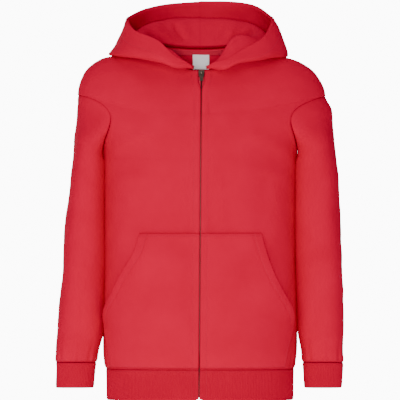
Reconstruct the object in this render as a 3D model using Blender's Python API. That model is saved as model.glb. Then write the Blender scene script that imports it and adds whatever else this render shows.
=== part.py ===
# A child's zipped hooded sweatshirt, hollow and filled out as it is when worn.
# Metres, +Z up. The wearer faces -Y, and the wearer's left is at +X.
# The origin is the middle of the neck opening, at the height of the tops of the shoulders.
# Every cloth piece is a wall on one of three surfaces: the body, a sleeve tube or the hood.

import bisect
import math
from types import SimpleNamespace

import bmesh
import bpy
from mathutils import Vector

MM = 0.001

# Cloth, seams and gaps
FLEECE = 0.0022  # brushed sweatshirt fleece
HOOD_CLOTH = 0.0019  # each of the hood's two layers
RIB = 0.0028  # rib knit, folded double
TAPE = 0.0010  # woven tape, of the zip and of the neck
SEAM_GAP = 0.0003  # between two pieces at a seam
LAYER_GAP = 0.0004  # between a piece and what it lies on
HOOD_LAYER_GAP = 0.0008  # between the hood and its lining
POCKET_LAYER_GAP = 0.0008  # between a pocket and the front it is sewn to

# Zip
ZIP_X_TOP = 0.0022  # the closed zip wanders a little from the middle
ZIP_X_BOTTOM = -0.0015
ZIP_SLOT = 0.0016  # half of the slot between the two front edges
SLIDER_SLOT = 0.0054  # half of that slot where the slider parts it
CHAIN_INNER = 0.00015  # the two rows of teeth meet here, measured from the zip's line
CHAIN_OUTER = 0.00125
CHAIN_SUNK = 0.0007  # the teeth lie this far below the cloth's face
ZIP_TAPE_WIDTH = 0.0130

# Slider and pull, in the zip's own plane: across, out from the cloth's face, and up from the
# slider's middle
SLIDER_Z = -0.0225  # the height of its middle on the front
SLIDER_HALF_WIDTH = 0.0044
SLIDER_TOP = 0.0060
SLIDER_FOOT = -0.0055
SLIDER_PLATE = (0.0006, 0.0018)  # the front plate, out from the face
SLIDER_BACK_PLATE = (-0.0052, -0.0041)
SLIDER_BRIDGE = 0.0022  # the bridge between the plates, down from the top
SLIDER_FLANGE = 0.0009
PULL_AXIS = (0.0027, 0.0015)  # out and up
PULL_BAR = 0.0010
PULL_HALF_WIDTH = 0.0027
PULL_EYE_HALF_WIDTH = 0.0015
PULL_EYE = -0.0042  # the eye's lower end, from the axis
PULL_END = -0.0150
BAIL_HALF_WIDTH = 0.0008
BAIL_OUT = (0.0036, 0.0043)
BAIL_LEGS = ((0.0030, 0.0038), (-0.0018, -0.0010))

# The body, from the bottom of the waistband to the neck seam. Each row is a ring round the body.
# Depths are from the side seams forward and back, squareness 2 is an ellipse.
TORSO_COLUMNS = "level z_front z_side z_back half_width depth_front depth_back squareness"
TORSO_ROWS = (
    (-1.0, -0.5050, -0.5050, -0.5050, 0.1400, 0.0910, 0.0850, 2.35),
    (-0.15, -0.4690, -0.4690, -0.4690, 0.1405, 0.0940, 0.0870, 2.35),
    (0.0, -0.4625, -0.4625, -0.4625, 0.1415, 0.0965, 0.0890, 2.35),
    (1.0, -0.4300, -0.4300, -0.4300, 0.1450, 0.1030, 0.0950, 2.35),
    (2.0, -0.3700, -0.3700, -0.3700, 0.1455, 0.1030, 0.0935, 2.35),
    (3.0, -0.2900, -0.2900, -0.2900, 0.1455, 0.1010, 0.0915, 2.35),
    (4.0, -0.2100, -0.2100, -0.2100, 0.1465, 0.0990, 0.0930, 2.35),
    (5.0, -0.1500, -0.1500, -0.1500, 0.1480, 0.0970, 0.0955, 2.35),
    (6.0, -0.1120, -0.1020, -0.1080, 0.1620, 0.0945, 0.0965, 2.30),
    (7.0, -0.0790, -0.0540, -0.0660, 0.1835, 0.0890, 0.0945, 1.96),
    (8.0, -0.0590, -0.0230, -0.0400, 0.1745, 0.0830, 0.0885, 1.96),
    (9.0, -0.0440, -0.0030, -0.0170, 0.1500, 0.0770, 0.0790, 2.02),
    (10.0, -0.0310, 0.0095, 0.0020, 0.1110, 0.0700, 0.0650, 2.10),
    (11.0, -0.0165, 0.0250, 0.0180, 0.0720, 0.0610, 0.0480, 2.10),
)
WAIST_LEVEL = 0.0
UNDERARM_LEVEL = 5.0
SHOULDER_LEVEL = 7.0  # the outer end of the shoulder seam
NECK_LEVEL = 11.0
ZIP_TOP_LEVEL = 10.7  # under the slider's bridge

# The armhole, cut out of the front and the back round the side
ARMHOLE_FRONT = 36.0  # degrees from the side seam, on the front
ARMHOLE_BACK = 30.0
ARMHOLE_POWER = 0.62  # under 1 makes its corners squarer
ARMHOLE_SKEW = 0.50  # wider at the top than under the arm
ARMHOLE_STEPS = 10

# A sleeve, from the shoulder to the cuff's edge. Widths are from the middle plane of the body.
SLEEVE_COLUMNS = (
    "z left_outer left_inner right_outer right_inner middle_y depth_front depth_back squareness"
)
SLEEVE_ROWS = (
    (-0.4900, 0.2125, 0.1560, 0.2160, 0.1590, -0.0120, 0.0195, 0.0195, 2.2),
    (-0.4590, 0.2145, 0.1540, 0.2150, 0.1560, -0.0120, 0.0215, 0.0215, 2.2),
    (-0.4530, 0.2150, 0.1530, 0.2165, 0.1545, -0.0120, 0.0255, 0.0255, 2.2),
    (-0.4350, 0.2148, 0.1515, 0.2160, 0.1530, -0.0115, 0.0330, 0.0330, 2.2),
    (-0.4050, 0.2162, 0.1480, 0.2148, 0.1500, -0.0105, 0.0370, 0.0375, 2.2),
    (-0.3600, 0.2150, 0.1440, 0.2115, 0.1460, -0.0090, 0.0420, 0.0430, 2.25),
    (-0.3000, 0.2132, 0.1410, 0.2045, 0.1420, -0.0070, 0.0475, 0.0490, 2.3),
    (-0.2400, 0.2115, 0.1390, 0.2020, 0.1400, -0.0040, 0.0520, 0.0540, 2.3),
    (-0.1800, 0.2075, 0.1385, 0.1945, 0.1395, -0.0015, 0.0555, 0.0580, 2.3),
    (-0.1350, 0.2030, 0.1385, 0.1900, 0.1395, 0.0, 0.0580, 0.0610, 2.3),
    (-0.0900, 0.1985, 0.1385, 0.1860, 0.1395, 0.0, 0.0580, 0.0620, 2.3),
    (-0.0540, 0.1925, 0.1385, 0.1845, 0.1395, 0.0, 0.0560, 0.0610, 2.3),
)
CUFF_SEAM_Z = -0.4530
CUFF_END_Z = -0.4900
SLEEVE_CLEAR = 0.0022  # from the body, where the sleeve lies beside it
SLEEVE_FADE = 0.055  # the armhole's own shape has gone this far down the sleeve
UNDERARM_FADE = 0.008  # and this far under the arm
SLEEVE_ROWS_DOWN = 15

# The hood, thrown back and standing open. Each row is a section through the neck's middle.
# From the neck seam the cloth rises to a ridge, falls behind it down a leg to a fold that rests
# on the shoulders and hangs at the back, and then climbs an outer wall to the rim. The azimuth
# is in degrees from the front, and the rest, radius and height, in millimetres.
HOOD_COLUMNS = (
    "azimuth ridge_r ridge_z leg_r leg_z in_r in_z fold_r fold_z out_r out_z wall_r wall_z rim_r rim_z"
)
HOOD_ROWS = (
    (0, 61, -15.8, 61.6, -15.7, 62.2, -15.6, 62.8, -15.5, 63.4, -15.4, 64, -15.2, 64.6, -15),
    (7, 61.8, -15.4, 63.2, -15.2, 64.8, -15, 66.4, -14.7, 67.8, -14.3, 68.8, -13.7, 69.2, -12.9),
    (14, 63, -14, 65.6, -13.6, 68.4, -13, 71.2, -11.8, 73.6, -9.8, 74.8, -7.4, 74.6, -4.8),
    (28, 70, -6.5, 75, -6.2, 80, -8, 86, -9, 91, -6, 91.5, 0, 86, 9),
    (45, 76, 9.5, 81, 8.5, 85, 2.5, 91, -3.5, 98.5, -2, 102, 8, 89, 28),
    (70, 84, 27, 95, 19, 103, 8.5, 110, 3, 117, 6, 120, 18, 105, 44),
    (92, 88, 39, 103, 30, 110, 17, 119, 8, 130, 9.5, 129.5, 25, 111, 61),
    (112, 88, 47, 105, 29, 112, 12, 120, 3, 131, 7, 134, 24, 113, 68),
    (135, 87, 56, 107, 24, 112, -15, 121, -30, 133, -19, 141, 18, 116, 79.5),
    (158, 88, 60, 107, 21, 112, -36, 122, -54, 135, -38, 143, 16, 119, 87.5),
    (180, 89, 61, 107, 20, 112, -42, 122.5, -62, 136, -45, 144, 14, 120, 91),
)
# The knots of a section, and how much of the lapel's drop each one takes
HOOD_KNOTS = (
    ("ridge", 0.0),
    ("leg", 0.0),
    ("in", 0.0),
    ("fold", 0.1),
    ("out", 0.2),
    ("wall", 0.5),
    ("rim", 1.0),
)
HOOD_SEAM_GAP = 0.0006  # above the neck seam
HOOD_STEPS_ROUND = 13
HOOD_STEPS_UP = 14
HOOD_START = 5.0  # degrees from the zip, where each front edge begins
LAPEL_DROP = {"left": 0.013, "right": 0.0}  # the wearer's left front edge lies lower
LAPEL_DROP_AT = 48.0
LAPEL_DROP_SPAN = 40.0

# Pockets, one each side of the zip, their bottoms in the waist seam
POCKET_COLUMNS = "z left_edge right_edge"
POCKET_ROWS = (
    (-0.4600, 0.1240, 0.1310),
    (-0.4300, 0.1300, 0.1360),
    (-0.3930, 0.1365, 0.1410),
    (-0.3790, 0.1335, 0.1385),
    (-0.3480, 0.1175, 0.1245),
    (-0.3150, 0.1030, 0.1090),
    (-0.2880, 0.0955, 0.0955),
    (-0.2605, 0.0900, 0.0885),
)
POCKET_FULLNESS = 0.0085  # how far the middle of the open edge stands off the front
POCKET_MOUTH_TOP_Z = -0.2605
POCKET_MOUTH_FOOT_Z = -0.3930
POCKET_STEPS = 10

# Neck tape and label
NECK_TAPE_SPAN = 62.0  # degrees each side of the middle of the back
LABEL_WIDTH = 0.0245
LABEL_TOP_Z = 0.0105
LABEL_BOTTOM_Z = -0.0140
LABEL_X = 0.0015
LABEL_Y = 0.0502  # its back, where its top meets the neck tape
LABEL_BOW = 0.28
LABEL_CLOTH = 0.0008


def curve_through(places, values):
    # A smooth curve through the values that doesn't overshoot between them.
    rises = [
        (values[i + 1] - values[i]) / (places[i + 1] - places[i]) for i in range(len(places) - 1)
    ]
    tangents = [rises[0]]
    for before, after in zip(rises, rises[1:]):
        turns = before * after <= 0
        tangents.append(0.0 if turns else 2 * before * after / (before + after))
    tangents.append(rises[-1])

    def value(at):
        if at <= places[0]:
            return values[0] + tangents[0] * (at - places[0])
        if at >= places[-1]:
            return values[-1] + tangents[-1] * (at - places[-1])
        i = bisect.bisect_right(places, at) - 1
        width = places[i + 1] - places[i]
        t = (at - places[i]) / width
        return (
            values[i] * (2 * t**3 - 3 * t**2 + 1)
            + tangents[i] * width * (t**3 - 2 * t**2 + t)
            + values[i + 1] * (3 * t**2 - 2 * t**3)
            + tangents[i + 1] * width * (t**3 - t**2)
        )

    return value


def table(columns, rows):
    # Reads every column at any place along the first one.
    names = columns.split()
    places = [row[0] for row in rows]
    curves = {name: curve_through(places, [row[i] for row in rows]) for i, name in enumerate(names)}

    def read(at):
        return SimpleNamespace(**{name: curve(at) for name, curve in curves.items()})

    return read


torso_at = table(TORSO_COLUMNS, TORSO_ROWS)
sleeve_at = table(SLEEVE_COLUMNS, SLEEVE_ROWS)
hood_at = table(HOOD_COLUMNS, HOOD_ROWS)
pocket_at = table(POCKET_COLUMNS, POCKET_ROWS)


def unit_ring(angle, squareness):
    # Sine and cosine of a rounded square: 2 gives a circle.
    s, c = math.sin(math.radians(angle)), math.cos(math.radians(angle))
    size = (abs(s) ** squareness + abs(c) ** squareness) ** (-1 / squareness)
    return s * size, c * size


def torso_point(level, angle):
    # Angle 0 is the middle of the front, 90 the wearer's left side, 180 the middle of the back.
    row = torso_at(level)
    across, forward = unit_ring(angle, row.squareness)
    depth, z_end = (
        (row.depth_front, row.z_front) if forward > 0 else (row.depth_back, row.z_back)
    )
    share = math.cos(math.radians(angle)) ** 2
    return Vector(
        (row.half_width * across, -depth * forward, row.z_side + (z_end - row.z_side) * share)
    )


def front_angle(level, x):
    # The angle at which the front of the body is x from the middle plane.
    row = torso_at(level)
    share = min(abs(x) / row.half_width, 0.9999)
    forward = (1 - share**row.squareness) ** (1 / row.squareness)
    return math.copysign(math.degrees(math.atan2(share, forward)), x)


def level_of(z):
    # The level whose ring is at this height, below the armholes where rings are flat.
    low, high = -1.0, UNDERARM_LEVEL
    for _ in range(30):
        middle = (low + high) / 2
        low, high = (middle, high) if torso_at(middle).z_side < z else (low, middle)
    return low


def surface_normal(surface, u, v, step_u=0.01, step_v=0.5):
    along_u = surface(u + step_u, v) - surface(u - step_u, v)
    along_v = surface(u, v + step_v) - surface(u, v - step_v)
    return along_v.cross(along_u).normalized()


def torso_normal(level, angle):
    return surface_normal(torso_point, level, angle)


def finish_mesh(name, verts, faces, material):
    mesh = bpy.data.meshes.new(name)
    mesh.from_pydata([tuple(v) for v in verts], [], faces)
    bm = bmesh.new()
    bm.from_mesh(mesh)
    bmesh.ops.recalc_face_normals(bm, faces=bm.faces)
    bm.to_mesh(mesh)
    bm.free()
    mesh.materials.append(material)
    mesh.shade_smooth()
    mesh.set_sharp_from_angle(angle=math.radians(50))
    obj = bpy.data.objects.new(name, mesh)
    bpy.context.collection.objects.link(obj)
    return obj


def cloth(name, rows, thickness, material, closed=False):
    # A wall from rows of (point, normal): its face, its inside and its edges all round.
    height, width = len(rows), len(rows[0])
    verts = [point for row in rows for point, _ in row]
    verts += [point - normal * thickness for row in rows for point, normal in row]
    inside = height * width
    last = width if closed else width - 1
    faces = []
    for i in range(height - 1):
        for j in range(last):
            k = (j + 1) % width
            a, b, c, d = i * width + j, i * width + k, (i + 1) * width + k, (i + 1) * width + j
            faces += [(a, b, c), (a, c, d)]
            faces += [(c + inside, b + inside, a + inside), (d + inside, c + inside, a + inside)]
    edges = []
    for j in range(last):
        k = (j + 1) % width
        edges.append((j, k))
        edges.append(((height - 1) * width + k, (height - 1) * width + j))
    if not closed:
        for i in range(height - 1):
            edges.append(((i + 1) * width, i * width))
            edges.append((i * width + width - 1, (i + 1) * width + width - 1))
    faces += [(b, a, a + inside, b + inside) for a, b in edges]
    return finish_mesh(name, verts, faces, material)


def on_torso(places, lift=0.0):
    # Points of the body's surface, moved out by lift, which may be a function of level and angle.
    rows = []
    for row in places:
        out = []
        for level, angle in row:
            normal = torso_normal(level, angle)
            height = lift(level, angle) if callable(lift) else lift
            out.append((torso_point(level, angle) + normal * height, normal))
        rows.append(out)
    return rows


def zip_x(z):
    bottom, top = TORSO_ROWS[0][1], TORSO_ROWS[-1][1]
    share = (z - bottom) / (top - bottom)
    return ZIP_X_BOTTOM + (ZIP_X_TOP - ZIP_X_BOTTOM) * share


def smooth_step(low, high, value):
    t = min(max((value - low) / (high - low), 0.0), 1.0)
    return t * t * (3 - 2 * t)


def slot_half_width(z):
    # The front edges part round the slider at the top of the zip.
    foot = SLIDER_Z + SLIDER_FOOT - 0.002
    share = smooth_step(foot - 0.016, foot, z)
    return ZIP_SLOT + (SLIDER_SLOT - ZIP_SLOT) * share


def armhole(psi, grown=0.0):
    # Level and reach from the side seam in degrees, front and back. Psi is 0 at the shoulder
    # and 180 under the arm. Grown widens the hole, in metres.
    middle = (SHOULDER_LEVEL + UNDERARM_LEVEL) / 2
    half = (SHOULDER_LEVEL - UNDERARM_LEVEL) / 2 + grown / 0.048
    cosine, sine = math.cos(math.radians(psi)), abs(math.sin(math.radians(psi)))
    shape = sine**ARMHOLE_POWER * (1 + ARMHOLE_SKEW * cosine)
    extra = math.degrees(grown / 0.11)
    front = (ARMHOLE_FRONT + extra) * shape
    back = (ARMHOLE_BACK + extra) * shape
    return middle + half * cosine, front, back


def side_gap(level):
    return math.degrees(SEAM_GAP / 2 / torso_at(level).depth_back)


def panel_rows():
    # Each row of the body's panels: its level, and how far in from the side its edge lies.
    rows = []
    for level in (0.0, 0.3, 0.65, 1.0, 1.5, 2.0, 2.5, 3.0, 3.5, 4.0, 4.5):
        rows.append((level, side_gap(level), side_gap(level)))
    for step in range(ARMHOLE_STEPS + 1):
        level, front, back = armhole(180 - 180 * step / ARMHOLE_STEPS)
        gap = side_gap(level)
        rows.append((level, max(front, gap), max(back, gap)))
    for level in (7.5, 8.2, 9.0, 9.8, 10.5, NECK_LEVEL):
        rows.append((level, side_gap(level), side_gap(level)))
    return rows


FRONT_STEPS = 9
BACK_STEPS = 18


def across(share, start, middle, reach):
    # An angle part of the way from start to the side at middle. The armhole's reach pushes the
    # outer points in and leaves those near the middle of the panel almost alone.
    whole = middle - start
    return start + whole * share - math.copysign(reach, whole) * share**1.7


def front_places(side):
    places = []
    for level, front_reach, _ in panel_rows():
        z = torso_at(level).z_front
        start = front_angle(level, zip_x(z) + side * slot_half_width(z))
        shares = [j / FRONT_STEPS for j in range(FRONT_STEPS + 1)]
        places.append([(level, across(share, start, side * 90, front_reach)) for share in shares])
    return places


def back_places():
    half = BACK_STEPS // 2
    places = []
    for level, _, back_reach in panel_rows():
        first = [across(j / half, 180, 90, back_reach) for j in range(half, 0, -1)]
        second = [across(j / half, 180, 270, back_reach) for j in range(half + 1)]
        places.append([(level, angle) for angle in first + second])
    return places


def waistband_places():
    # One strip from zip to zip round the back, whose points stand under those of the panels.
    rows = []
    for level in (-1.0, -0.6, -0.15, WAIST_LEVEL - 0.0085):
        z = torso_at(level).z_front
        left = front_angle(level, zip_x(z) + ZIP_SLOT)
        right = 360 + front_angle(level, zip_x(z) - ZIP_SLOT)
        angles = [left + (90 - left) * j / FRONT_STEPS for j in range(FRONT_STEPS)]
        angles += [90 + 180 * j / BACK_STEPS for j in range(BACK_STEPS)]
        angles += [270 + (right - 270) * j / FRONT_STEPS for j in range(FRONT_STEPS + 1)]
        rows.append([(level, angle) for angle in angles])
    return rows


def torso_side(y, z):
    # How far the body reaches sideways at a depth and a height, below the armholes.
    row = torso_at(level_of(z))
    depth = row.depth_front if y < 0 else row.depth_back
    if abs(y) >= depth:
        return 0.0
    return row.half_width * (1 - (abs(y) / depth) ** row.squareness) ** (1 / row.squareness)


def sleeve_tube(side, z, around):
    # Around is 0 on the outer side of the arm, 90 at its front and 180 beside the body.
    row = sleeve_at(z)
    outer, inner = (
        (row.left_outer, row.left_inner) if side > 0 else (row.right_outer, row.right_inner)
    )
    forward, outward = unit_ring(around, row.squareness)
    x = (outer + inner) / 2 + (outer - inner) / 2 * outward
    depth = row.depth_front if forward > 0 else row.depth_back
    y = row.middle_y - depth * forward
    beside = torso_side(y, z) + SLEEVE_CLEAR
    softness = 0.002
    x = (x + beside + math.sqrt((x - beside) ** 2 + softness**2)) / 2
    return Vector((side * x, y, z))


def armhole_place(side, around):
    level, front, back = armhole(around if around <= 180 else 360 - around, -SEAM_GAP)
    reach = front if around <= 180 else -back
    return level, side * (90 - reach)


def sleeve_point(side, down, around):
    # Down is 0 at the armhole and 1 at the cuff's seam.
    around = around % 360
    seam = torso_point(*armhole_place(side, around))
    z = seam.z + (CUFF_SEAM_Z - seam.z) * down
    beside = (1 - math.cos(math.radians(around))) / 2
    reach = SLEEVE_FADE + (UNDERARM_FADE - SLEEVE_FADE) * beside
    fade = 1 - smooth_step(0.0, reach, seam.z - z)
    return sleeve_tube(side, z, around) + (seam - sleeve_tube(side, seam.z, around)) * fade


def sleeve_normal(side, down, around):
    def surface(u, v):
        return sleeve_point(side, u, v)

    normal = surface_normal(surface, down + 0.004 if down < 0.005 else down, around, 0.004, 1.0)
    normal *= side
    if down > 0.001:
        return normal
    beside = (1 - math.cos(math.radians(around))) / 2
    shared = torso_normal(*armhole_place(side, around % 360))
    return (shared * (1 - beside) + normal * beside).normalized()


def sleeve_around():
    steps = 2 * ARMHOLE_STEPS
    return [360 * j / steps for j in range(steps)]


def build_sleeve(name, side, material):
    rows = []
    for i in range(SLEEVE_ROWS_DOWN + 1):
        down = (i / SLEEVE_ROWS_DOWN) ** 1.15
        rows.append(
            [
                (sleeve_point(side, down, around), sleeve_normal(side, down, around))
                for around in sleeve_around()
            ]
        )
    return cloth(name, rows, FLEECE, material, closed=True)


def build_cuff(name, side, material):
    rows = []
    for z in (CUFF_SEAM_Z - SEAM_GAP, CUFF_SEAM_Z - 0.006, CUFF_SEAM_Z - 0.020, CUFF_END_Z):
        row = []
        for around in sleeve_around():
            surface = lambda u, v: sleeve_tube(side, u, v % 360)
            normal = surface_normal(surface, min(z, CUFF_SEAM_Z - 0.012), around, 0.001, 1.0)
            normal *= -side
            row.append((sleeve_tube(side, z, around), normal))
        rows.append(row)
    return cloth(name, rows, RIB, material, closed=True)


def spline_point(knots, t):
    # A smooth curve through evenly timed knots, t from 0 to 1.
    spans = len(knots) - 1
    i = min(int(t * spans), spans - 1)
    s = t * spans - i
    before = knots[i - 1] if i > 0 else tuple(2 * a - b for a, b in zip(knots[0], knots[1]))
    after = (
        knots[i + 2]
        if i + 2 <= spans
        else tuple(2 * a - b for a, b in zip(knots[-1], knots[-2]))
    )
    out = []
    for p0, p1, p2, p3 in zip(before, knots[i], knots[i + 1], after):
        out.append(
            0.5
            * (
                2 * p1
                + (p2 - p0) * s
                + (2 * p0 - 5 * p1 + 4 * p2 - p3) * s**2
                + (3 * p1 - p0 - 3 * p2 + p3) * s**3
            )
        )
    return out


def lapel_drop(side, azimuth):
    away = min(abs(azimuth - LAPEL_DROP_AT) / LAPEL_DROP_SPAN, 1.0)
    return LAPEL_DROP["left" if side > 0 else "right"] * (1 - away * away) ** 2


def hood_point(side, up, angle):
    # Up is 0 at the neck seam and 1 at the rim, and angle is the body's own, 0 to 180.
    folded = 360 - angle if angle > 180 else angle
    seam = torso_point(NECK_LEVEL, folded)
    azimuth = math.degrees(math.atan2(seam.x, -seam.y))
    row = hood_at(azimuth)
    drop = lapel_drop(side, azimuth)
    knots = [(math.hypot(seam.x, seam.y), seam.z + HOOD_SEAM_GAP)]
    for name, falls in HOOD_KNOTS:
        r, z = getattr(row, name + "_r") * MM, getattr(row, name + "_z") * MM
        knots.append((r, z - drop * falls))
    r, z = spline_point(knots, min(max(up, 0.0), 1.0))
    direction = math.radians(azimuth)
    x = r * math.sin(direction) * (-1 if angle > 180 else 1)
    return Vector((side * x, -r * math.cos(direction), z))


def hood_normal(side, up, angle):
    surface = lambda u, v: hood_point(side, u, v)
    middle = min(max(up, 0.012), 0.988)
    return surface_normal(surface, middle, angle, 0.01, 0.5) * side


def build_hood(name, side, lift, material):
    gap = math.degrees(SEAM_GAP / 2 / 0.05)
    rows = []
    for i in range(HOOD_STEPS_UP + 1):
        up = i / HOOD_STEPS_UP
        row = []
        for j in range(HOOD_STEPS_ROUND + 1):
            angle = HOOD_START + (180 - gap - HOOD_START) * j / HOOD_STEPS_ROUND
            normal = hood_normal(side, up, angle)
            row.append((hood_point(side, up, angle) - normal * lift, normal))
        rows.append(row)
    return cloth(name, rows, HOOD_CLOTH, material)


def pocket_lift(side):
    # A pocket is sewn down at its top, foot and zip edge, and full at its open slanting edge.
    def lift(level, angle):
        point = torso_point(level, angle)
        row = pocket_at(point.z)
        edge = row.left_edge if side > 0 else row.right_edge
        share = min(max((side * point.x - 0.012) / (edge - 0.012), 0.0), 1.0)
        height = (point.z - POCKET_MOUTH_FOOT_Z) / (POCKET_MOUTH_TOP_Z - POCKET_MOUTH_FOOT_Z)
        if height >= 0:
            along = math.sin(math.pi * min(height, 1.0) ** 0.8)
        else:
            along = 0.0
        below = smooth_step(POCKET_ROWS[0][0], POCKET_MOUTH_FOOT_Z + 0.02, point.z)
        body = 0.45 * math.sin(math.pi * share) * below * (1 - max(height, 0.0) ** 4)
        mouth = along * smooth_step(0.35, 1.0, share)
        fullness = POCKET_FULLNESS * min(max(mouth, body), 1.0)
        return POCKET_LAYER_GAP + FLEECE + fullness

    return lift


def pocket_places(side):
    places = []
    for i in range(POCKET_STEPS + 1):
        z = POCKET_ROWS[0][0] + (POCKET_ROWS[-1][0] - POCKET_ROWS[0][0]) * i / POCKET_STEPS
        level = level_of(z)
        row = pocket_at(z)
        outer = row.left_edge if side > 0 else row.right_edge
        start = front_angle(level, zip_x(z) + side * ZIP_SLOT)
        end = front_angle(level, side * outer)
        places.append(
            [(level, start + (end - start) * j / POCKET_STEPS) for j in range(POCKET_STEPS + 1)]
        )
    return places


def zip_places(side, inner, outer, columns):
    # A strip beside the zip's line, from the waistband's foot to the slider's bridge.
    places = []
    levels = [-0.97, -0.6, -0.15, -0.0085, 0.1, 0.3, 0.65]
    levels += [1 + 0.5 * i for i in range(20)] + [ZIP_TOP_LEVEL]
    for level in levels:
        z = torso_at(level).z_front
        x = [zip_x(z) + side * (inner + (outer - inner) * j / columns) for j in range(columns + 1)]
        places.append([(level, front_angle(level, a)) for a in x])
    return places


def zip_tape_lift(level, angle):
    # Behind the fleece, and behind the thicker rib at the waistband.
    share = smooth_step(WAIST_LEVEL + 0.1, WAIST_LEVEL + 0.65, level)
    return -(RIB + (FLEECE - RIB) * share + LAYER_GAP)


def build_neck_tape(material):
    inside = -(FLEECE + LAYER_GAP)
    rows = []
    for level in (10.45, 10.7, 10.95):
        angles = [180 + NECK_TAPE_SPAN * (j / 7 - 1) for j in range(15)]
        rows.append([(level, angle) for angle in angles])
    return cloth("neck_tape", on_torso(rows, inside), TAPE, material)


def build_label(material):
    # It hangs straight down from the neck tape, bowed with it.
    rows = []
    for i in range(4):
        z = LABEL_BOTTOM_Z + (LABEL_TOP_Z - LABEL_BOTTOM_Z) * i / 3
        row = []
        for j in range(5):
            across = (j / 4 - 0.5) * LABEL_WIDTH
            y = LABEL_Y - across * across / LABEL_BOW
            row.append((Vector((LABEL_X + across, y, z)), Vector((0.0, -1.0, 0.0))))
        rows.append(row)
    return cloth("neck_label", rows, -LABEL_CLOTH, material)


def material(name, colour, roughness, metallic=0.0):
    made = bpy.data.materials.new(name)
    made.use_nodes = True
    shader = made.node_tree.nodes["Principled BSDF"]
    shader.inputs["Base Color"].default_value = (*colour, 1.0)
    shader.inputs["Roughness"].default_value = roughness
    shader.inputs["Metallic"].default_value = metallic
    return made


def box(name, low, high, made_of, parent):
    spans = list(zip(low, high))
    corners = [(x, y, z) for x in spans[0] for y in spans[1] for z in spans[2]]
    faces = [(0, 1, 3, 2), (4, 6, 7, 5), (0, 4, 5, 1), (2, 3, 7, 6), (0, 2, 6, 4), (1, 5, 7, 3)]
    obj = finish_mesh(name, corners, faces, made_of)
    obj.parent = parent
    return obj


def zip_block(name, across, out, up, made_of, parent):
    # A block given by its half width and its two ends out from the cloth and up.
    low = (across[0], -max(out), min(up))
    high = (across[1], -min(out), max(up))
    return box(name, low, high, made_of, parent)


def join(base, pieces):
    for piece in pieces:
        boolean = base.modifiers.new(piece.name, "BOOLEAN")
        boolean.operation = "UNION"
        boolean.object = piece
        piece.hide_render = True
        piece.display_type = "WIRE"


def soften(obj, width):
    bevel = obj.modifiers.new("soft_edges", "BEVEL")
    bevel.width = width
    bevel.segments = 2
    bevel.angle_limit = math.radians(40)
    bevel.limit_method = "ANGLE"


def front_level(z):
    # The level whose middle of the front is at this height.
    low, high = 0.0, NECK_LEVEL
    for _ in range(30):
        middle = (low + high) / 2
        low, high = (middle, high) if torso_at(middle).z_front < z else (low, middle)
    return low


def build_slider(made_of):
    level = front_level(SLIDER_Z)
    angle = front_angle(level, zip_x(SLIDER_Z))
    normal = torso_normal(level, angle)
    plane = bpy.data.objects.new("zip_plane", None)
    bpy.context.collection.objects.link(plane)
    plane.location = torso_point(level, angle)
    plane.rotation_euler = (-math.atan2(normal.z, -normal.y), 0.0, 0.0)

    wide = (-SLIDER_HALF_WIDTH, SLIDER_HALF_WIDTH)
    length = (SLIDER_FOOT, SLIDER_TOP)
    front, back = SLIDER_PLATE, SLIDER_BACK_PLATE
    overlap = 0.0003
    slider = zip_block("zip_slider", wide, front, length, made_of, plane)
    pieces = [
        zip_block("slider_back", wide, back, length, made_of, plane),
        zip_block(
            "slider_bridge",
            (-0.0013, 0.0013),
            (back[1] - overlap, front[0] + overlap),
            (SLIDER_TOP - SLIDER_BRIDGE, SLIDER_TOP - 0.0004),
            made_of,
            plane,
        ),
    ]
    for name, side in (("left", 1), ("right", -1)):
        ends = sorted((side * (SLIDER_HALF_WIDTH - SLIDER_FLANGE), side * SLIDER_HALF_WIDTH))
        pieces.append(
            zip_block(
                "slider_flange_" + name,
                ends,
                (-0.0008, front[0] + overlap),
                (SLIDER_FOOT, SLIDER_TOP - 0.004),
                made_of,
                plane,
            )
        )
    bail = (-BAIL_HALF_WIDTH, BAIL_HALF_WIDTH)
    for name, leg in zip(("bail_top", "bail_foot"), BAIL_LEGS):
        reach = (front[1] - overlap, BAIL_OUT[1] - overlap)
        pieces.append(zip_block(name, bail, reach, leg, made_of, plane))
    across = (BAIL_LEGS[1][0], BAIL_LEGS[0][1])
    pieces.append(zip_block("bail_bar", bail, BAIL_OUT, across, made_of, plane))
    join(slider, pieces)

    axis = bpy.data.objects.new("pull_axis", None)
    bpy.context.collection.objects.link(axis)
    axis.parent = plane
    axis.location = (0.0, -PULL_AXIS[0], PULL_AXIS[1])
    half = PULL_BAR / 2
    pull = zip_block(
        "zip_pull",
        (-PULL_HALF_WIDTH, PULL_HALF_WIDTH),
        (-half, half),
        (PULL_END, half),
        made_of,
        axis,
    )
    eye = zip_block(
        "pull_eye",
        (-PULL_EYE_HALF_WIDTH, PULL_EYE_HALF_WIDTH),
        (-0.003, 0.003),
        (PULL_EYE, -half),
        made_of,
        axis,
    )
    cut = pull.modifiers.new("eye", "BOOLEAN")
    cut.operation = "DIFFERENCE"
    cut.object = eye
    eye.hide_render = True
    eye.display_type = "WIRE"
    soften(pull, 0.0002)


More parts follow.
